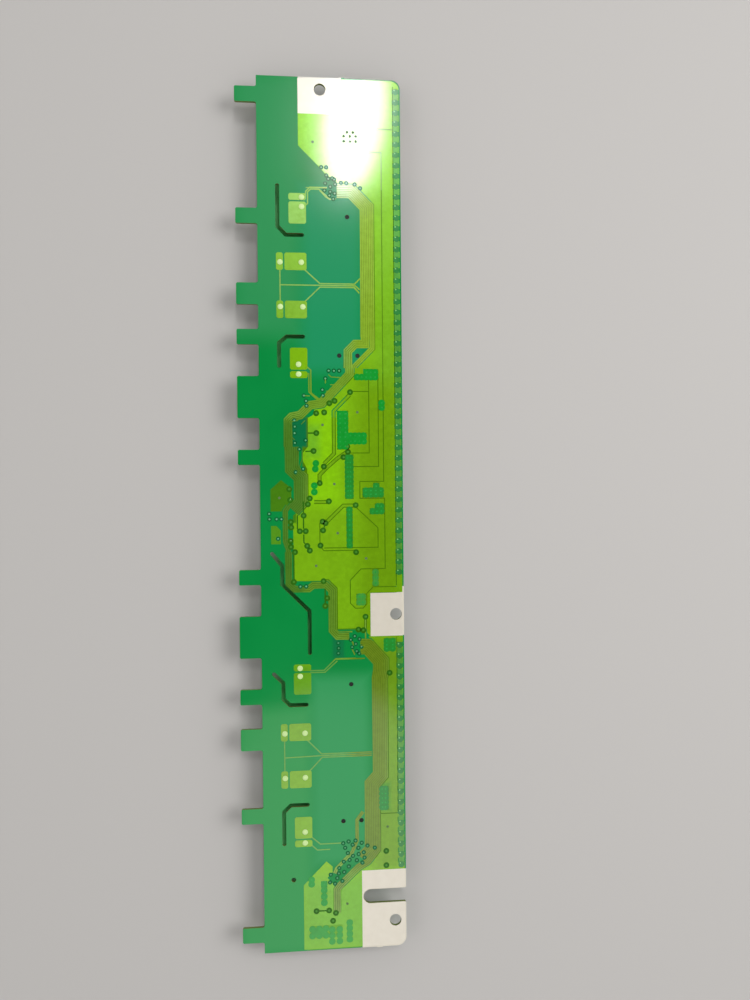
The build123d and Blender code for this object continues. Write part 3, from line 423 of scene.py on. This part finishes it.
def makeStripTree():
    # a flat strip along every run of edges
    tree, given = startTree("strips", {"Width": "NodeSocketFloat", "Thickness": "NodeSocketFloat"})
    path = addNode(tree, "GeometryNodeMeshToCurve", {"Mesh": given["Geometry"]})
    level = addNode(tree, "GeometryNodeSetCurveNormal", {"Curve": path.outputs["Curve"]}, mode="Z_UP")
    section = addNode(tree, "GeometryNodeCurvePrimitiveQuadrilateral", {"Width": given["Width"],
                                                                        "Height": given["Thickness"]})
    swept = addNode(tree, "GeometryNodeCurveToMesh", {"Curve": level.outputs["Curve"],
                                                      "Profile Curve": section.outputs["Curve"],
                                                      "Fill Caps": True})
    flat = addNode(tree, "GeometryNodeSetShadeSmooth", {"Geometry": swept.outputs["Mesh"],
                                                        "Shade Smooth": False})
    return endTree(tree, given, flat.outputs["Geometry"])


def makePadTree():
    # a flat oblong pad on every point
    tree, given = startTree("pads", {"Size": "NodeSocketVector"})
    pad = addNode(tree, "GeometryNodeMeshCube", {"Size": given["Size"]})
    spread = addNode(tree, "GeometryNodeInstanceOnPoints", {"Points": given["Geometry"],
                                                            "Instance": pad.outputs["Mesh"]})
    return endTree(tree, given, spread.outputs["Instances"])


def makePlateTree():
    # every face of the seed raised into a closed plate
    tree, given = startTree("plates", {"Thickness": "NodeSocketFloat"})
    raised = addNode(tree, "GeometryNodeExtrudeMesh", {"Mesh": given["Geometry"], "Individual": False,
                                                       "Offset Scale": given["Thickness"]})
    under = addNode(tree, "GeometryNodeFlipFaces", {"Mesh": given["Geometry"]})
    both = addNode(tree, "GeometryNodeJoinGeometry", {"Geometry": raised.outputs["Mesh"]})
    tree.links.new(under.outputs["Mesh"], both.inputs["Geometry"])
    closed = addNode(tree, "GeometryNodeMergeByDistance", {"Geometry": both.outputs["Geometry"],
                                                           "Distance": 0.0005 * mm})
    return endTree(tree, given, closed.outputs["Geometry"])


def makeTurnTree():
    # one closed turn of wire round a bobbin on every point, coarse because there are many
    tree, given = startTree("turns", {"Across": "NodeSocketFloat", "High": "NodeSocketFloat",
                                      "Corner": "NodeSocketFloat", "Wire": "NodeSocketFloat"})
    frameLine = addNode(tree, "GeometryNodeCurvePrimitiveQuadrilateral", {"Width": given["Across"],
                                                                          "Height": given["High"]})
    rounded = addNode(tree, "GeometryNodeFilletCurve", {"Curve": frameLine.outputs["Curve"], "Count": 2,
                                                        "Radius": given["Corner"]}, mode="POLY")
    wire = addNode(tree, "GeometryNodeCurvePrimitiveCircle", {"Resolution": 5, "Radius": given["Wire"]})
    turn = addNode(tree, "GeometryNodeCurveToMesh", {"Curve": rounded.outputs["Curve"],
                                                     "Profile Curve": wire.outputs["Curve"]})
    upright = addNode(tree, "GeometryNodeTransform", {"Geometry": turn.outputs["Mesh"],
                                                      "Rotation": (math.pi / 2, 0, 0)})
    smooth = addNode(tree, "GeometryNodeSetShadeSmooth", {"Geometry": upright.outputs["Geometry"]})
    spread = addNode(tree, "GeometryNodeInstanceOnPoints", {"Points": given["Geometry"],
                                                            "Instance": smooth.outputs["Geometry"]})
    return endTree(tree, given, spread.outputs["Instances"])


studTree = makeStudTree()
domeTree = makeDomeTree()
stripTree = makeStripTree()
padTree = makePadTree()
plateTree = makePlateTree()
turnTree = makeTurnTree()


def growPiece(name, tree, points, values, material, edges=(), faces=(), replaced=()):
    # the tree runs on the points, edges and faces, and its result becomes the piece's own mesh
    seed = bpy.data.meshes.new(name)
    seed.from_pydata(points, edges, faces)
    piece = bpy.data.objects.new(name, seed)
    bpy.context.scene.collection.objects.link(piece)
    modifier = piece.modifiers.new("grow", "NODES")
    modifier.node_group = tree
    values = {**values, "Material": material}
    for item in tree.interface.items_tree:
        if item.in_out == "INPUT" and item.name in values:
            modifier[item.identifier] = values[item.name]
    evaluated = piece.evaluated_get(bpy.context.evaluated_depsgraph_get())
    whole = bpy.data.meshes.new_from_object(evaluated)
    piece.modifiers.remove(modifier)
    piece.data = whole
    piece.data.name = name
    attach(piece, "root")
    if replaced:
        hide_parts(*replaced)
    print(name, len(whole.polygons), "faces")


padTaper = 0.8  # the top of a hole's rim, as a share of its foot


def growStuds(name, places, base, radius, height, material, sides, taper=1.0):
    values = {"Sides": sides, "Radius": radius * mm, "Top Radius": taper * radius * mm,
              "Height": height * mm}
    growPiece(name, studTree, [spot(x, y, base) for x, y in places], values, material)


def growStrips(name, paths, middle, width, thickness, material):
    points, edges = [], []
    for path in paths:
        first = len(points)
        points += [spot(x, y, middle) for x, y in path]
        edges += [(i, i + 1) for i in range(first, len(points) - 1)]
    values = {"Width": width * mm, "Thickness": thickness * mm}
    growPiece(name, stripTree, points, values, material, edges)


def growHoles(kind, holes, ringMask, padMask):
    # the ring where copper keeps clear of each hole, and the hole's own rim standing in it
    sides = holes["sides"]
    growStuds(kind + "Clearances", holes["places"], solderFace, holes["clearRadius"],
              copperStep + holes["rise"], ringMask, sides["clear"])
    growStuds(kind + "Pads", holes["places"], copperTop, holes["padRadius"], holes["padRise"],
              padMask, sides["pad"], padTaper)


def at(column, y):
    # a layout point, its column counted inwards from the right-hand edge
    return (rightEdge - column, y)


# Fields of plated holes: rows and columns at one pitch, whose clearances run together
holeFields = {
    "clearRadius": 1.75,
    "dotRadius": 0.5,
    "sides": {"clear": 18, "dot": 8},
    "levels": 37,
    "rise": 0.012,
    "sink": 0.02,  # how far a plate reaches down into the copper
    "groups": [
        {"pitch": 2.5, "inset": 0.45, "fields": [
            ((17.2, 70.4), (30, 73.2)), ((22, 72.4), (30, 76.2)), ((8.2, 34.4), (14.3, 54.6)),
            ((13.6, 37), (23.8, 43.4)), ((12, 9), (16.8, 32)), ((12.6, -16.6), (16.1, 5.2)),
            ((29.8, 54.4), (33.2, 60.2)), ((21.2, 9.6), (32.4, 15)), ((26.5, 13.6), (30.1, 17.5)),
            ((24.7, 0.8), (32.6, 4.4)), ((27.4, 3.4), (32.6, 6.8)), ((25.9, -36.4), (29.3, -27.3)),
            ((17.4, -46.2), (22.6, -39.8)), ((31.4, -70.6), (38, -63.2)), ((28.4, -153.2), (33.6, -140.3)),
        ]},
        {"pitch": 3.1, "inset": 1.25, "fields": [
            ((-8.4, -218.6), (2, -211.6)), ((1.8, -222), (5.2, -212.4)), ((5.7, -222), (9.1, -212.4)),
            ((10.9, -221.4), (14.3, -209.2)), ((-2.3, -201.6), (1.4, -188.4)),
            ((-8.6, -191.6), (-5.2, -185.8)), ((-5.4, 22.8), (-0.6, 26.4)), ((-4.4, 25.8), (-1, 29.2)),
            ((-5.2, 11), (-2, 17.8)),
        ]},
    ],
}


def fieldRows(low, high, pitch, radius):
    # hole places along one direction, as near the pitch as whole steps allow
    reach = max(high - low - 2 * radius, 0)
    steps = round(reach / pitch)
    if steps == 0:
        return [(low + high) / 2]
    return [low + radius + reach * i / steps for i in range(steps + 1)]


# No two neighbours are level, plates or clearances, so that no two tops share a plane
fieldHoles, platePoints, plateFaces = [], [], []
levels, rise, sink = holeFields["levels"], holeFields["rise"], holeFields["sink"]
clearRadius = holeFields["clearRadius"]
for group in holeFields["groups"]:
    inset = group["inset"]
    for (left, bottom), (right, top) in group["fields"]:
        fieldHoles += [(x, y) for x in fieldRows(left, right, group["pitch"], clearRadius)
                       for y in fieldRows(bottom, top, group["pitch"], clearRadius)]
        first = len(platePoints)
        level = copperTop - (sink - len(plateFaces) / levels * rise) * mm
        platePoints += [spot(x, y, level) for x, y in (
            (left + inset, bottom + inset), (right - inset, bottom + inset),
            (right - inset, top - inset), (left + inset, top - inset))]
        plateFaces.append(tuple(range(first, first + 4)))
growPiece("holeFieldPlates", plateTree, platePoints, {"Thickness": (sink + 2 * rise) * mm},
          gapMasks["field"], faces=plateFaces)
growPiece("holeFieldClearances", studTree,
          [spot(x, y, solderFace + i % levels / levels * rise * mm) for i, (x, y) in enumerate(fieldHoles)],
          {"Sides": holeFields["sides"]["clear"], "Radius": clearRadius * mm, "Top Radius": clearRadius * mm,
           "Height": (copperStep + rise) * mm}, gapMasks["field"])
growStuds("holeFieldDots", fieldHoles, copperTop, holeFields["dotRadius"], 3 * rise,
          gapMasks["fieldPad"], holeFields["sides"]["dot"], padTaper)

# Single plated holes in the pours: a sunk dark ring and the hole's own rim
ringedHoles = {
    "clearRadius": 1.55,
    "padRadius": 0.62,
    "rise": 0.014,
    "padRise": 0.035,
    "sides": {"clear": 20, "pad": 16},
    "places": [
        (15.2, 64), (-2.3, 43), (-3.8, 33.8), (-2.3, 53.2), (1.8, 53.6), (4.5, 58.3), (7.2, 59.5),
        (1.4, 25.8), (-0.8, 17.3), (3.8, 7.9), (17.6, 5.8), (17.6, -18.5), (0.5, -2.5), (2, -3.3),
        (0.7, -7), (-0.7, -14.8), (-7, 6.5), (-6, 9.5), (13.5, 36), (13.8, 33.3), (11.5, 30.6),
        (0.7, -33.2), (2.5, -42), (1.5, -46), (18.5, -58.6), (21, -59), (22.2, -52), (-4.5, -204),
        (2, -204), (5.5, -205.5), (4, -209.5), (32, -174.5), (32, -182), (34.5, -81.5), (-16.4, 14.3),
        (-16, 8.7), (-9.2, 0.7), (-11.2, -7.3), (-8.2, -7.3), (-7.5, -14.9), (-6.2, -17.3), (-15.6, -5.3),
        (-16, -12.3), (-15.8, -15.3), (-15.8, -2.5), (-14.5, -33.3), (-13.8, -18),
    ],
}
growHoles("ringedHole", ringedHoles, gapMasks["ring"], gapMasks["pad"])

# Plated holes among the tracks and on bare laminate: a dark ring and a pale solder-filled middle
trackHoles = {
    "clearRadius": 1.15,
    "padRadius": 0.5,
    "rise": 0.016,
    "padRise": 0.04,
    "sides": {"clear": 14, "pad": 10},
    "places": [
        (1.5, 178.8), (4, 178.8), (4, 174.7), (5, 173), (7, 173.3), (8, 172.7), (8.5, 170.3), (11.5, 171.1),
        (14.2, 171), (18.5, 170.5), (21.3, 168.6), (3, 167), (5.5, 164.5), (7.5, 162.8), (4.3, 75), (7, 75),
        (9.7, 75), (2.6, 71), (1, 65.2), (1.2, 62.3), (-8.5, 62.2), (-7.4, 59.5), (-7.2, 57), (-13.5, 49.5),
        (-13.3, 46.3), (-13.4, 43), (-13.3, 38), (-7.8, 39.3), (-11, 34.8), (-9.2, 24.7), (-13, 23),
        (-26.7, 1.8), (-26.6, -1), (-23, -1), (-20.5, -1), (-22.3, -11), (-11.2, -35.7), (-8.2, -35.7),
        (16.5, -62), (19, -63.5), (14.5, -63.8), (15.2, -67.6), (18.8, -71), (17, -66), (20, -67.5),
        (17.5, -69.8), (8, -65.3), (8.2, -68), (8, -70.6), (9.6, -169.4), (10.6, -171.8), (14.5, -170.4),
        (17.5, -172.2), (20.2, -174.6), (22.2, -171.2), (26, -172.5), (14.6, -176.2), (9.8, -179),
        (12.4, -181.6), (10, -184.4), (19.5, -180), (3, -185.4), (6.4, -187.4), (2.6, -189.4), (9, -189),
        (16, -168.3), (19.2, -169.6), (12.4, -168.6), (17.6, -175.4), (12, -174.6), (16.6, -178.6),
        (7.4, -182.2), (12.8, -178.2), (5.2, -190.2), (7.2, -185), (20.6, -177.4), (6, 169), (3.4, 170.6),
        (6, 166.4), (8.2, 165.6),
    ],
}
growHoles("trackHole", trackHoles, gapMasks["laminateRing"], gapMasks["paleDot"])

# Small holes with no ring: rows near the input, a few in the pours
smallHoles = {
    "radius": 0.7,
    "rise": 0.02,
    "sides": 12,
    "places": [
        (14.7, 197), (17.8, 197), (13.1, 195), (16.3, 195), (19.3, 195), (13.1, 192.4), (16.3, 192.4),
        (19.3, 192.4), (6.7, 16.8), (-21.5, 9.9), (18.9, 53.7), (0.9, 47.2), (8.2, -8.5), (22.8, -21.8),
        (-3, -25.2), (11.5, -201), (32.8, -161.8), (-2.8, 191.6),
    ],
}
# each is a flat disc of painted shade on the copper, not a hollow
growStuds("smallHoles", smallHoles["places"], copperTop, smallHoles["radius"], smallHoles["rise"],
          paintedHoleShade, smallHoles["sides"])

# Pale short tracks from single holes to their bundle
stubs = {
    "width": 0.42,
    "thickness": 0.05,
    "paths": [
        [(4.2, 73), (5.5, 71.8), (10.3, 71.5)], [(2.6, 71), (2.6, 68.5)], [(5, 67.8), (8, 67.8)],
        [(3, 64.5), (5, 64.5)], [(-8.5, 62.2), (-5.5, 62)], [(-5, 64), (-1, 60), (1.2, 62.3)],
        [(-11.5, 49.5), (-15, 49), (-15.8, 47), (-15.8, 42), (-13.4, 39.5)], [(-10, 47.5), (-8, 49.5)],
        [(-6.5, 168.3), (4, 168.3)], [(0.5, 167), (3.5, 163.8), (6, 162.3)], [(19.5, -65.5), (22, -65.5)],
        [(19.5, -67), (22, -67)], [(19.5, -69), (22, -69)], [(19.5, -70.5), (22, -70.5)],
        [(6.5, -73.3), (17, -73.3)], [(-12.4, 22), (-9.6, 30), (-9.6, 34)],
    ],
}
growStrips("stubs", stubs["paths"], copperTop, stubs["width"], stubs["thickness"],
           finishes["masked_tracks"])

# Dark gaps where the pour keeps clear of a track that ends at a hole
darkGaps = {
    "width": 0.7,
    "thickness": 0.03,
    "paths": [
        [(-6.5, 43), (-2.3, 43)], [(-8, 33.6), (-3.8, 33.8)], [(1.5, -37), (1.5, -47)],
        [(3, 57.4), (8.5, 60)], [(-4.5, -204), (2, -204)], [(2, -3.3), (0.7, -7)],
        [(-11.2, -35.7), (-8.2, -35.7)], [(-9.3, 8), (-9.3, -6)], [(-12.4, 1), (-12.4, -6), (-11.2, -7.3)],
        [(-9.2, -9), (-9.2, -13), (-7.5, -14.9)], [(-14.4, -18), (-14.4, -32)],
    ],
}
growStrips("darkGaps", darkGaps["paths"], copperTop, darkGaps["width"], darkGaps["thickness"],
           gapMasks["ring"])

# Wide tracks in the pour, darker than it between their two clearances
wideTracks = {
    "width": 1.05,
    "thickness": 0.02,
    "paths": [
        [at(27.3, 62.6), at(35.6, 54.2), at(35.6, 32.4), at(40.8, 27.2)],
        [at(28.9, 33.4), at(34.1, 29.8), at(39.7, 24.9), at(43.1, 21.4), at(43.1, 18.4)],
        [at(25.2, 5.6), at(31.1, 5.6), at(39.4, -2.4), at(41.6, -2.4)],
        [at(46, 7.6), at(39.2, 7.6)],
    ],
}
growStrips("wideTracks", wideTracks["paths"], copperTop, wideTracks["width"], wideTracks["thickness"],
           gapMasks["wideTrack"])

# The mask pooled between the tracks of each bundle, one strip under the whole bundle: how many tracks
# the bundle has, and the line along its middle
upperColumn, lowerColumn = 17.75, 17.3
bundleBeds = {
    "trackPitch": 0.92,
    "spare": 1.0,
    "thickness": 0.05,
    "bundles": [
        (8, [at(33, 166.9), at(25.6, 166.9), at(upperColumn, 159), at(upperColumn, 92.5)]),
        (5, [at(19.1, 92.5), at(19.1, 88.8), at(24.2, 88.8), at(28, 85), at(28, 76.4)]),
        (3, [at(15.45, 92.5), at(15.45, 86.6), at(24.8, 77.2), at(24.8, 76.4)]),
        (5, [at(27.2, 76.4), at(27.2, 73.4), at(41.6, 58.2), at(47.6, 57.3), at(52.8, 52.2), at(57, 51.4),
             at(59, 49.4), at(59, 36)]),
        (8, [at(57.2, 36), at(57.2, 24.6), at(52.8, 20.2), at(52.8, 7.6), at(56.8, 3.4)]),
        (3, [at(59.2, 5.6), at(60.8, 3.2), at(60.8, -12.4), at(59.4, -16.4), at(59.4, -18)]),
        (4, [at(59.3, -18), at(59.3, -34.2), at(56.4, -37), at(49.2, -37), at(46.9, -35.2), at(40.4, -35.2),
             at(37.4, -38.2), at(37.4, -58.8), at(34.6, -61.9), at(28.6, -61.9)]),
        (9, [at(22.8, -67.5), at(19.1, -67.5), at(12.2, -75.4), at(12.2, -80), at(12.95, -84),
             at(12.95, -134.4), at(lowerColumn, -139.1), at(lowerColumn, -171)]),
        (5, [at(19.14, -171), at(19.14, -172.4), at(23.6, -177)]),
        (4, [at(15, -171), at(15, -173.5), at(19.7, -179.4), at(24.9, -182.4), at(34.6, -191.4),
             at(36, -193.4), at(36, -205.4)]),
        (2, [at(22.2, -153.4), at(25.4, -157.6), at(25.4, -168.2), at(28, -174.2), at(36.2, -182.4),
             at(37.2, -184.8)]),
    ],
}
for tracks in sorted({tracks for tracks, path in bundleBeds["bundles"]}):
    paths = [path for count, path in bundleBeds["bundles"] if count == tracks]
    width = (tracks - 1) * bundleBeds["trackPitch"] + bundleBeds["spare"]
    growStrips("bundleBed%d" % tracks, paths, solderFace, width, bundleBeds["thickness"],
               gapMasks["bed"])

# The stitched strip along the right-hand rim: a dark line, paler islands and a hole in each gap. Each row is
# its first place, its pitch and how many holes it has
edgeStitch = {
    "rows": [(218.4, 5.38, 47), (-67.3, 5.46, 22)],
    "column": 2.35,
    "gap": 1.45,
    "islandColumn": 2.25,
    "islandWidth": 2.9,
    "ringRadius": 1.6,
    "dotRadius": 0.42,
    "highlightShift": (-0.6, 0.8),
    "sides": {"ring": 16, "dot": 10},
    "lineColumn": 3.85,
    "lineWidth": 0.35,
    "lines": [(-36, 221), (-154.6, -63)],
    "rise": 0.012,
}
rise = edgeStitch["rise"]
edgeRows = [[first - i * pitch for i in range(count)] for first, pitch, count in edgeStitch["rows"]]
islands = [[at(edgeStitch["islandColumn"], above - edgeStitch["gap"]),
            at(edgeStitch["islandColumn"], below + edgeStitch["gap"])]
           for row in edgeRows for above, below in zip(row, row[1:])]
# each layer lies a rise above the last
growStrips("edgeIslands", islands, copperTop, edgeStitch["islandWidth"], 2 * rise,
           gapMasks["island"])
lines = [[at(edgeStitch["lineColumn"], y) for y in ends] for ends in edgeStitch["lines"]]
growStrips("edgeLine", lines, copperTop, edgeStitch["lineWidth"], 3 * rise,
           gapMasks["ring"])
centres = [at(edgeStitch["column"], y) for row in edgeRows for y in row]
growStuds("edgeHoleClearances", centres, solderFace, edgeStitch["ringRadius"], copperStep + 2 * rise,
          gapMasks["edgeRing"], edgeStitch["sides"]["ring"])
# each hole's pale dot is set off its middle: the hole's fill with a painted highlight
shiftX, shiftY = edgeStitch["highlightShift"]
fillHighlights = [(x + shiftX, y + shiftY) for x, y in centres]
growStuds("edgeHoleFillHighlights", fillHighlights, copperTop, edgeStitch["dotRadius"], 4 * rise,
          gapMasks["edgeFillHighlight"], edgeStitch["sides"]["dot"], padTaper)

# Test lands: solder left domed by the levelling, two to each pair of sense plates. A pair is its middle, how
# it is turned, how far across it both lands stand, and how far along it the second one does
testLands = {
    "radius": 1.45,
    "segments": 16,
    "rings": 6,
    "firstAlong": 5.75,
    "pairs": [
        ((-10.95, 157.6), 0, 2.2, 0.95), ((-14.25, 130.6), 90, -0.4, -5.1), ((-14.25, 106.1), 90, 1.4, -5.7),
        ((-10.95, 78.9), 180, 0.1, 0.75), ((-10.55, -83.6), 0, -1.2, 1.6), ((-14.15, -110.8), 90, -0.6, -4.6),
        ((-14.15, -135.2), 90, 0.8, -4.5), ((-10.75, -162.5), 180, -0.75, 0.1),
    ],
}
landPlaces = []
for (x, y), turn, across, along in testLands["pairs"]:
    cosine, sine = round(math.cos(math.radians(turn))), round(math.sin(math.radians(turn)))
    for reach in (testLands["firstAlong"], along):
        landPlaces.append((x + cosine * across - sine * reach, y + sine * across + cosine * reach))
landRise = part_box("test_lands")[1].z - copperTop
growPiece("domedTestLands", domeTree, [spot(x, y, copperTop) for x, y in landPlaces],
          {"Segments": testLands["segments"], "Rings": testLands["rings"],
           "Radius": testLands["radius"] * mm, "Flatten": (1, 1, landRise / (testLands["radius"] * mm))},
          finishes["solder_coat"], replaced=("test_lands",))

# Turns of wire laid over the winding solids, half sunk in them. A secondary's sections lie between flanges
# and are counted inwards from both ends
windings = {
    "transformers": range(1, 5),
    "primary": {"turns": 14, "wire": 0.26},
    "secondary": {"turns": 6, "wire": 0.16, "sections": 4, "flange": 0.7, "end": 14.85, "pitch": 2.625},
    "corner": 1.1,
    "sunk": 0.3,  # how much smaller a turn's line is than the solid, as a share of the primary wire
}
secondary = windings["secondary"]
for number in windings["transformers"]:
    low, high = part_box("transformer_%d_primary" % number)
    middle = (low + high) / 2
    wire = windings["primary"]["wire"]
    turns = windings["primary"]["turns"]
    step = (high.y - low.y - 2 * wire * mm) / (turns - 1)
    sunk = windings["sunk"] * wire * mm
    sizes = {"Across": high.x - low.x - sunk, "High": high.z - low.z - sunk,
             "Corner": windings["corner"] * mm, "Wire": wire * mm}
    places = [Vector((middle.x, low.y + wire * mm + i * step, middle.z)) for i in range(turns)]
    growPiece("primaryTurns%d" % number, turnTree, places, sizes, finishes["primary_wire"])
    wire = secondary["wire"]
    sizes["Wire"] = wire * mm
    length = (secondary["pitch"] - secondary["flange"]) * mm
    step = (length - 2 * wire * mm) / (secondary["turns"] - 1)
    places = []
    for side in (-1, 1):
        for section in range(secondary["sections"]):
            away = secondary["end"] - secondary["flange"] / 2 - (section + 0.5) * secondary["pitch"]
            start = middle.y + side * away * mm - length / 2 + wire * mm
            places += [Vector((middle.x, start + i * step, middle.z)) for i in range(secondary["turns"])]
    growPiece("secondaryTurns%d" % number, turnTree, places, sizes,
              finishes["secondary_wire"])

# Solder joints on the component side, at every lead, end cap and terminal: a flat pad and a fillet of solder,
# which is a dome stretched by its spread
padStep = 0.04
filletRings = 4


def growJoints(kind, places, joint):
    padLength, padBreadth = joint["pad"]
    growPiece(kind + "Pads", padTree, [spot(x, y, underFace - padStep * mm / 2) for x, y in places],
              {"Size": (padLength * mm, padBreadth * mm, padStep * mm)}, finishes["tin_plate"])
    growPiece(kind + "Fillets", domeTree, [spot(x, y, underFace) for x, y in places],
              {"Segments": joint["segments"], "Rings": filletRings, "Radius": joint["fillet"] * mm,
               "Flatten": joint["spread"]}, finishes["tin_plate"])


leads = {
    "pitch": 1.27,
    "foot": 0.95,
    "pad": (1.6, 0.7),
    "fillet": 0.34,
    "segments": 8,
    "spread": (1.9, 0.9, 0.8),
    "packages": [
        {"width": 7.5, "leads": 20, "places": [at(42.8, 38)]},
        {"width": 3.9, "leads": 14, "places": [at(58.2, 9.5), at(58.2, -9)]},
        {"width": 3.9, "leads": 8, "places": [
            at(25.4, 172.5), at(16.4, 172.5), at(31, 44.5), at(22.2, 40.2),
            at(27.8, 20.5), at(16, 12.3), at(14.6, -32), at(22.5, -174)]},
    ],
}
feet = []
for package in leads["packages"]:
    reach = (package["width"] + leads["foot"]) / 2
    rows = package["leads"] // 2
    feet += [(x + side * reach, y + (i - (rows - 1) / 2) * leads["pitch"])
             for x, y in package["places"] for side in (-1, 1) for i in range(rows)]
growJoints("lead", feet, leads)

# Each group of chips: its first place, and how many columns and rows it has
chips = {
    "reach": 1.0,
    "pad": (1.0, 1.5),
    "fillet": 0.42,
    "segments": 8,
    "spread": (0.8, 1.3, 0.9),
    "steps": (4.2, 3.6),
    "groups": [((23.5, 61.5), 3, 2), ((40, -25), 4, 3), ((45, 12), 3, 3), ((27.5, -52), 3, 3)],
}
acrossStep, alongStep = chips["steps"]
chipPlaces = [at(column - acrossStep * i, y - alongStep * j)
              for (column, y), columns, rows in chips["groups"] for i in range(columns) for j in range(rows)]
growJoints("chip", [(x + side * chips["reach"], y) for x, y in chipPlaces for side in (-1, 1)], chips)

terminals = {
    "pitch": 4.6,
    "count": 5,
    "reach": 20.9,
    "pad": (1.5, 2.6),
    "fillet": 0.6,
    "segments": 10,
    "spread": (1.1, 1.9, 0.8),
}
terminalPlaces = []
for number in windings["transformers"]:
    low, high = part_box("transformer_%d_core" % number)
    middle = ((low + high) / 2 - boardMiddle) / mm
    terminalPlaces += [(middle.x + (i - (terminals["count"] - 1) / 2) * terminals["pitch"],
                        middle.y + side * terminals["reach"])
                       for side in (-1, 1) for i in range(terminals["count"])]
growJoints("terminal", terminalPlaces, terminals)

# White printed outlines round the parts on the component side, with no marks in them
outlines = {
    "width": 0.22,
    "thickness": 0.03,
    "margin": 0.9,
    "leftInset": 12,  # from the ends of the tabs, so that no line reaches past the board's own side
    "rightInset": 1,
    "around": ["transformer_%d_core" % number for number in windings["transformers"]]
              + ["connector_housing", "control_ic"],
}
# screen-printed epoxy ink: chalk white, slightly uneven
legendInk = makeGrained("epoxyLegendInk", "#EDEEE8", "#DCDDD4", 0.55, 0.3, 0.003)
borders = []
for name in outlines["around"]:
    low, high = [(corner - boardMiddle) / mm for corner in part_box(name)]
    left = max(low.x - outlines["margin"], -rightEdge + outlines["leftInset"])
    right = min(high.x + outlines["margin"], rightEdge - outlines["rightInset"])
    bottom = low.y - outlines["margin"]
    top = high.y + outlines["margin"]
    corners = [(left, bottom), (right, bottom), (right, top), (left, top)]
    borders += zip(corners, corners[1:] + corners[:1])
growStrips("legendOutlines", borders, underFace, outlines["width"], outlines["thickness"],
           legendInk)
print("pieces grown")

# The floor the board lies on, far larger than the view: matt painted board, pale grey with hardly a grain.
# Under the board's middle it is painted green and darker: painted shade, tinted as by daylight come through
# the laminate
floorLook = {
    "size": 6.0,
    "colour": "#BDBAB7",
    "roughness": 0.8,
    "grain": 40.0,
    "grainDepth": 0.05,
    "fields": [((-24, -193), (26, 178), "#58C068", 4.0)],
}
floorMaterial, floorTree, floorShader, floorSpace = startMaterial("paleFloor", floorLook["colour"],
                                                                  floorLook["roughness"])
roughen(floorTree, floorShader, floorSpace, floorLook["grain"], floorLook["grainDepth"])
floorPaintedShade = tintFields(floorTree, floorSpace, floorLook["colour"], floorLook["fields"])
floorTree.links.new(floorPaintedShade, floorShader.inputs["Base Color"])
floorMesh = bpy.data.meshes.new("floor")
half = floorLook["size"] / 2
corners = [(-half, -half, 0), (half, -half, 0), (half, half, 0), (-half, half, 0)]
floorMesh.from_pydata(corners, [], [(0, 1, 2, 3)])
floorMesh.materials.append(floorMaterial)
floor = bpy.data.objects.new("floor", floorMesh)
floor.location.z = cadBox[0][2]
bpy.context.scene.collection.objects.link(floor)

# Lamps: place and aim in metres, size in metres, power in watts
lamps = {
    "keyLamp": {"place": (0.9, 0.25, 1.1), "aim": (0, 0, 0), "size": (0.9, 0.9), "power": 10.0},
    "fillLamp": {"place": (-0.9, -0.1, 1.2), "aim": (0, 0, 0), "size": (0.8, 0.8), "power": 1.7},
    "glareLamp": {"place": (0.123, 0.91, 1.51), "aim": (0, 0.1, 0), "size": (0.144, 0.34), "power": 4.1},
    "hazePanel": {"place": (0.036, 0.752, 1.52), "aim": (0, 0.1, 0), "size": (0.473, 0.614), "power": 0.3},
    "veilPanel": {"place": (0.06, -0.86, 1.51), "aim": (0, -0.1, 0), "size": (0.62, 0.78), "power": 1.8},
}
for name, lamp in lamps.items():
    light = bpy.data.lights.new(name, "AREA")
    light.shape = "ELLIPSE"
    light.size, light.size_y = lamp["size"]
    light.energy = lamp["power"]
    holder = bpy.data.objects.new(name, light)
    holder.location = lamp["place"]
    sight = Vector(lamp["aim"]) - Vector(lamp["place"])
    holder.rotation_euler = sight.to_track_quat("-Z", "Y").to_euler()
    bpy.context.scene.collection.objects.link(holder)

# The room: pale at mid height, duller along the horizon and dark overhead, so that the gloss stays deep
# seen from above. Where the walls start and end is the height of the line of sight, from 0 to 1
room = {
    "horizon": "#CCCCCC",
    "walls": "#E4E3E1",
    "overhead": "#4A4C52",
    "wallStart": (0.05, 0.3),
    "wallEnd": (0.66, 0.84),
}
world = bpy.data.worlds.new("room")
world.use_nodes = True
bpy.context.scene.world = world
roomTree = world.node_tree
roomSpace = addNode(roomTree, "ShaderNodeTexCoord")
roomParts = addNode(roomTree, "ShaderNodeSeparateXYZ", {"Vector": roomSpace.outputs["Generated"]})
colour = room["horizon"]
for band, further in ((room["wallStart"], room["walls"]), (room["wallEnd"], room["overhead"])):
    share = addNode(roomTree, "ShaderNodeMapRange", {"Value": roomParts.outputs["Z"], "From Min": band[0],
                                                     "From Max": band[1]})
    mixed = addNode(roomTree, "ShaderNodeMix", {0: share.outputs["Result"], 6: colour, 7: further},
                    data_type="RGBA")
    colour = mixed.outputs[2]
roomTree.links.new(colour, roomTree.nodes["Background"].inputs["Color"])
print("floor, lamps and room made")

# A hand-held camera a forearm above the board, a little left of it and turned back towards it
view = {"place": (-0.00962, 0.01374, 0.41393), "turn": (-0.718, -5.306, -0.489), "lens": 28.08}
camera = bpy.data.objects.new("camera", bpy.data.cameras.new("camera"))
camera.data.lens = view["lens"]
camera.data.clip_start = 0.01
camera.location = view["place"]
camera.rotation_euler = [math.radians(angle) for angle in view["turn"]]
bpy.context.scene.collection.objects.link(camera)
bpy.context.scene.camera = camera
bpy.context.scene.view_settings.view_transform = "Standard"
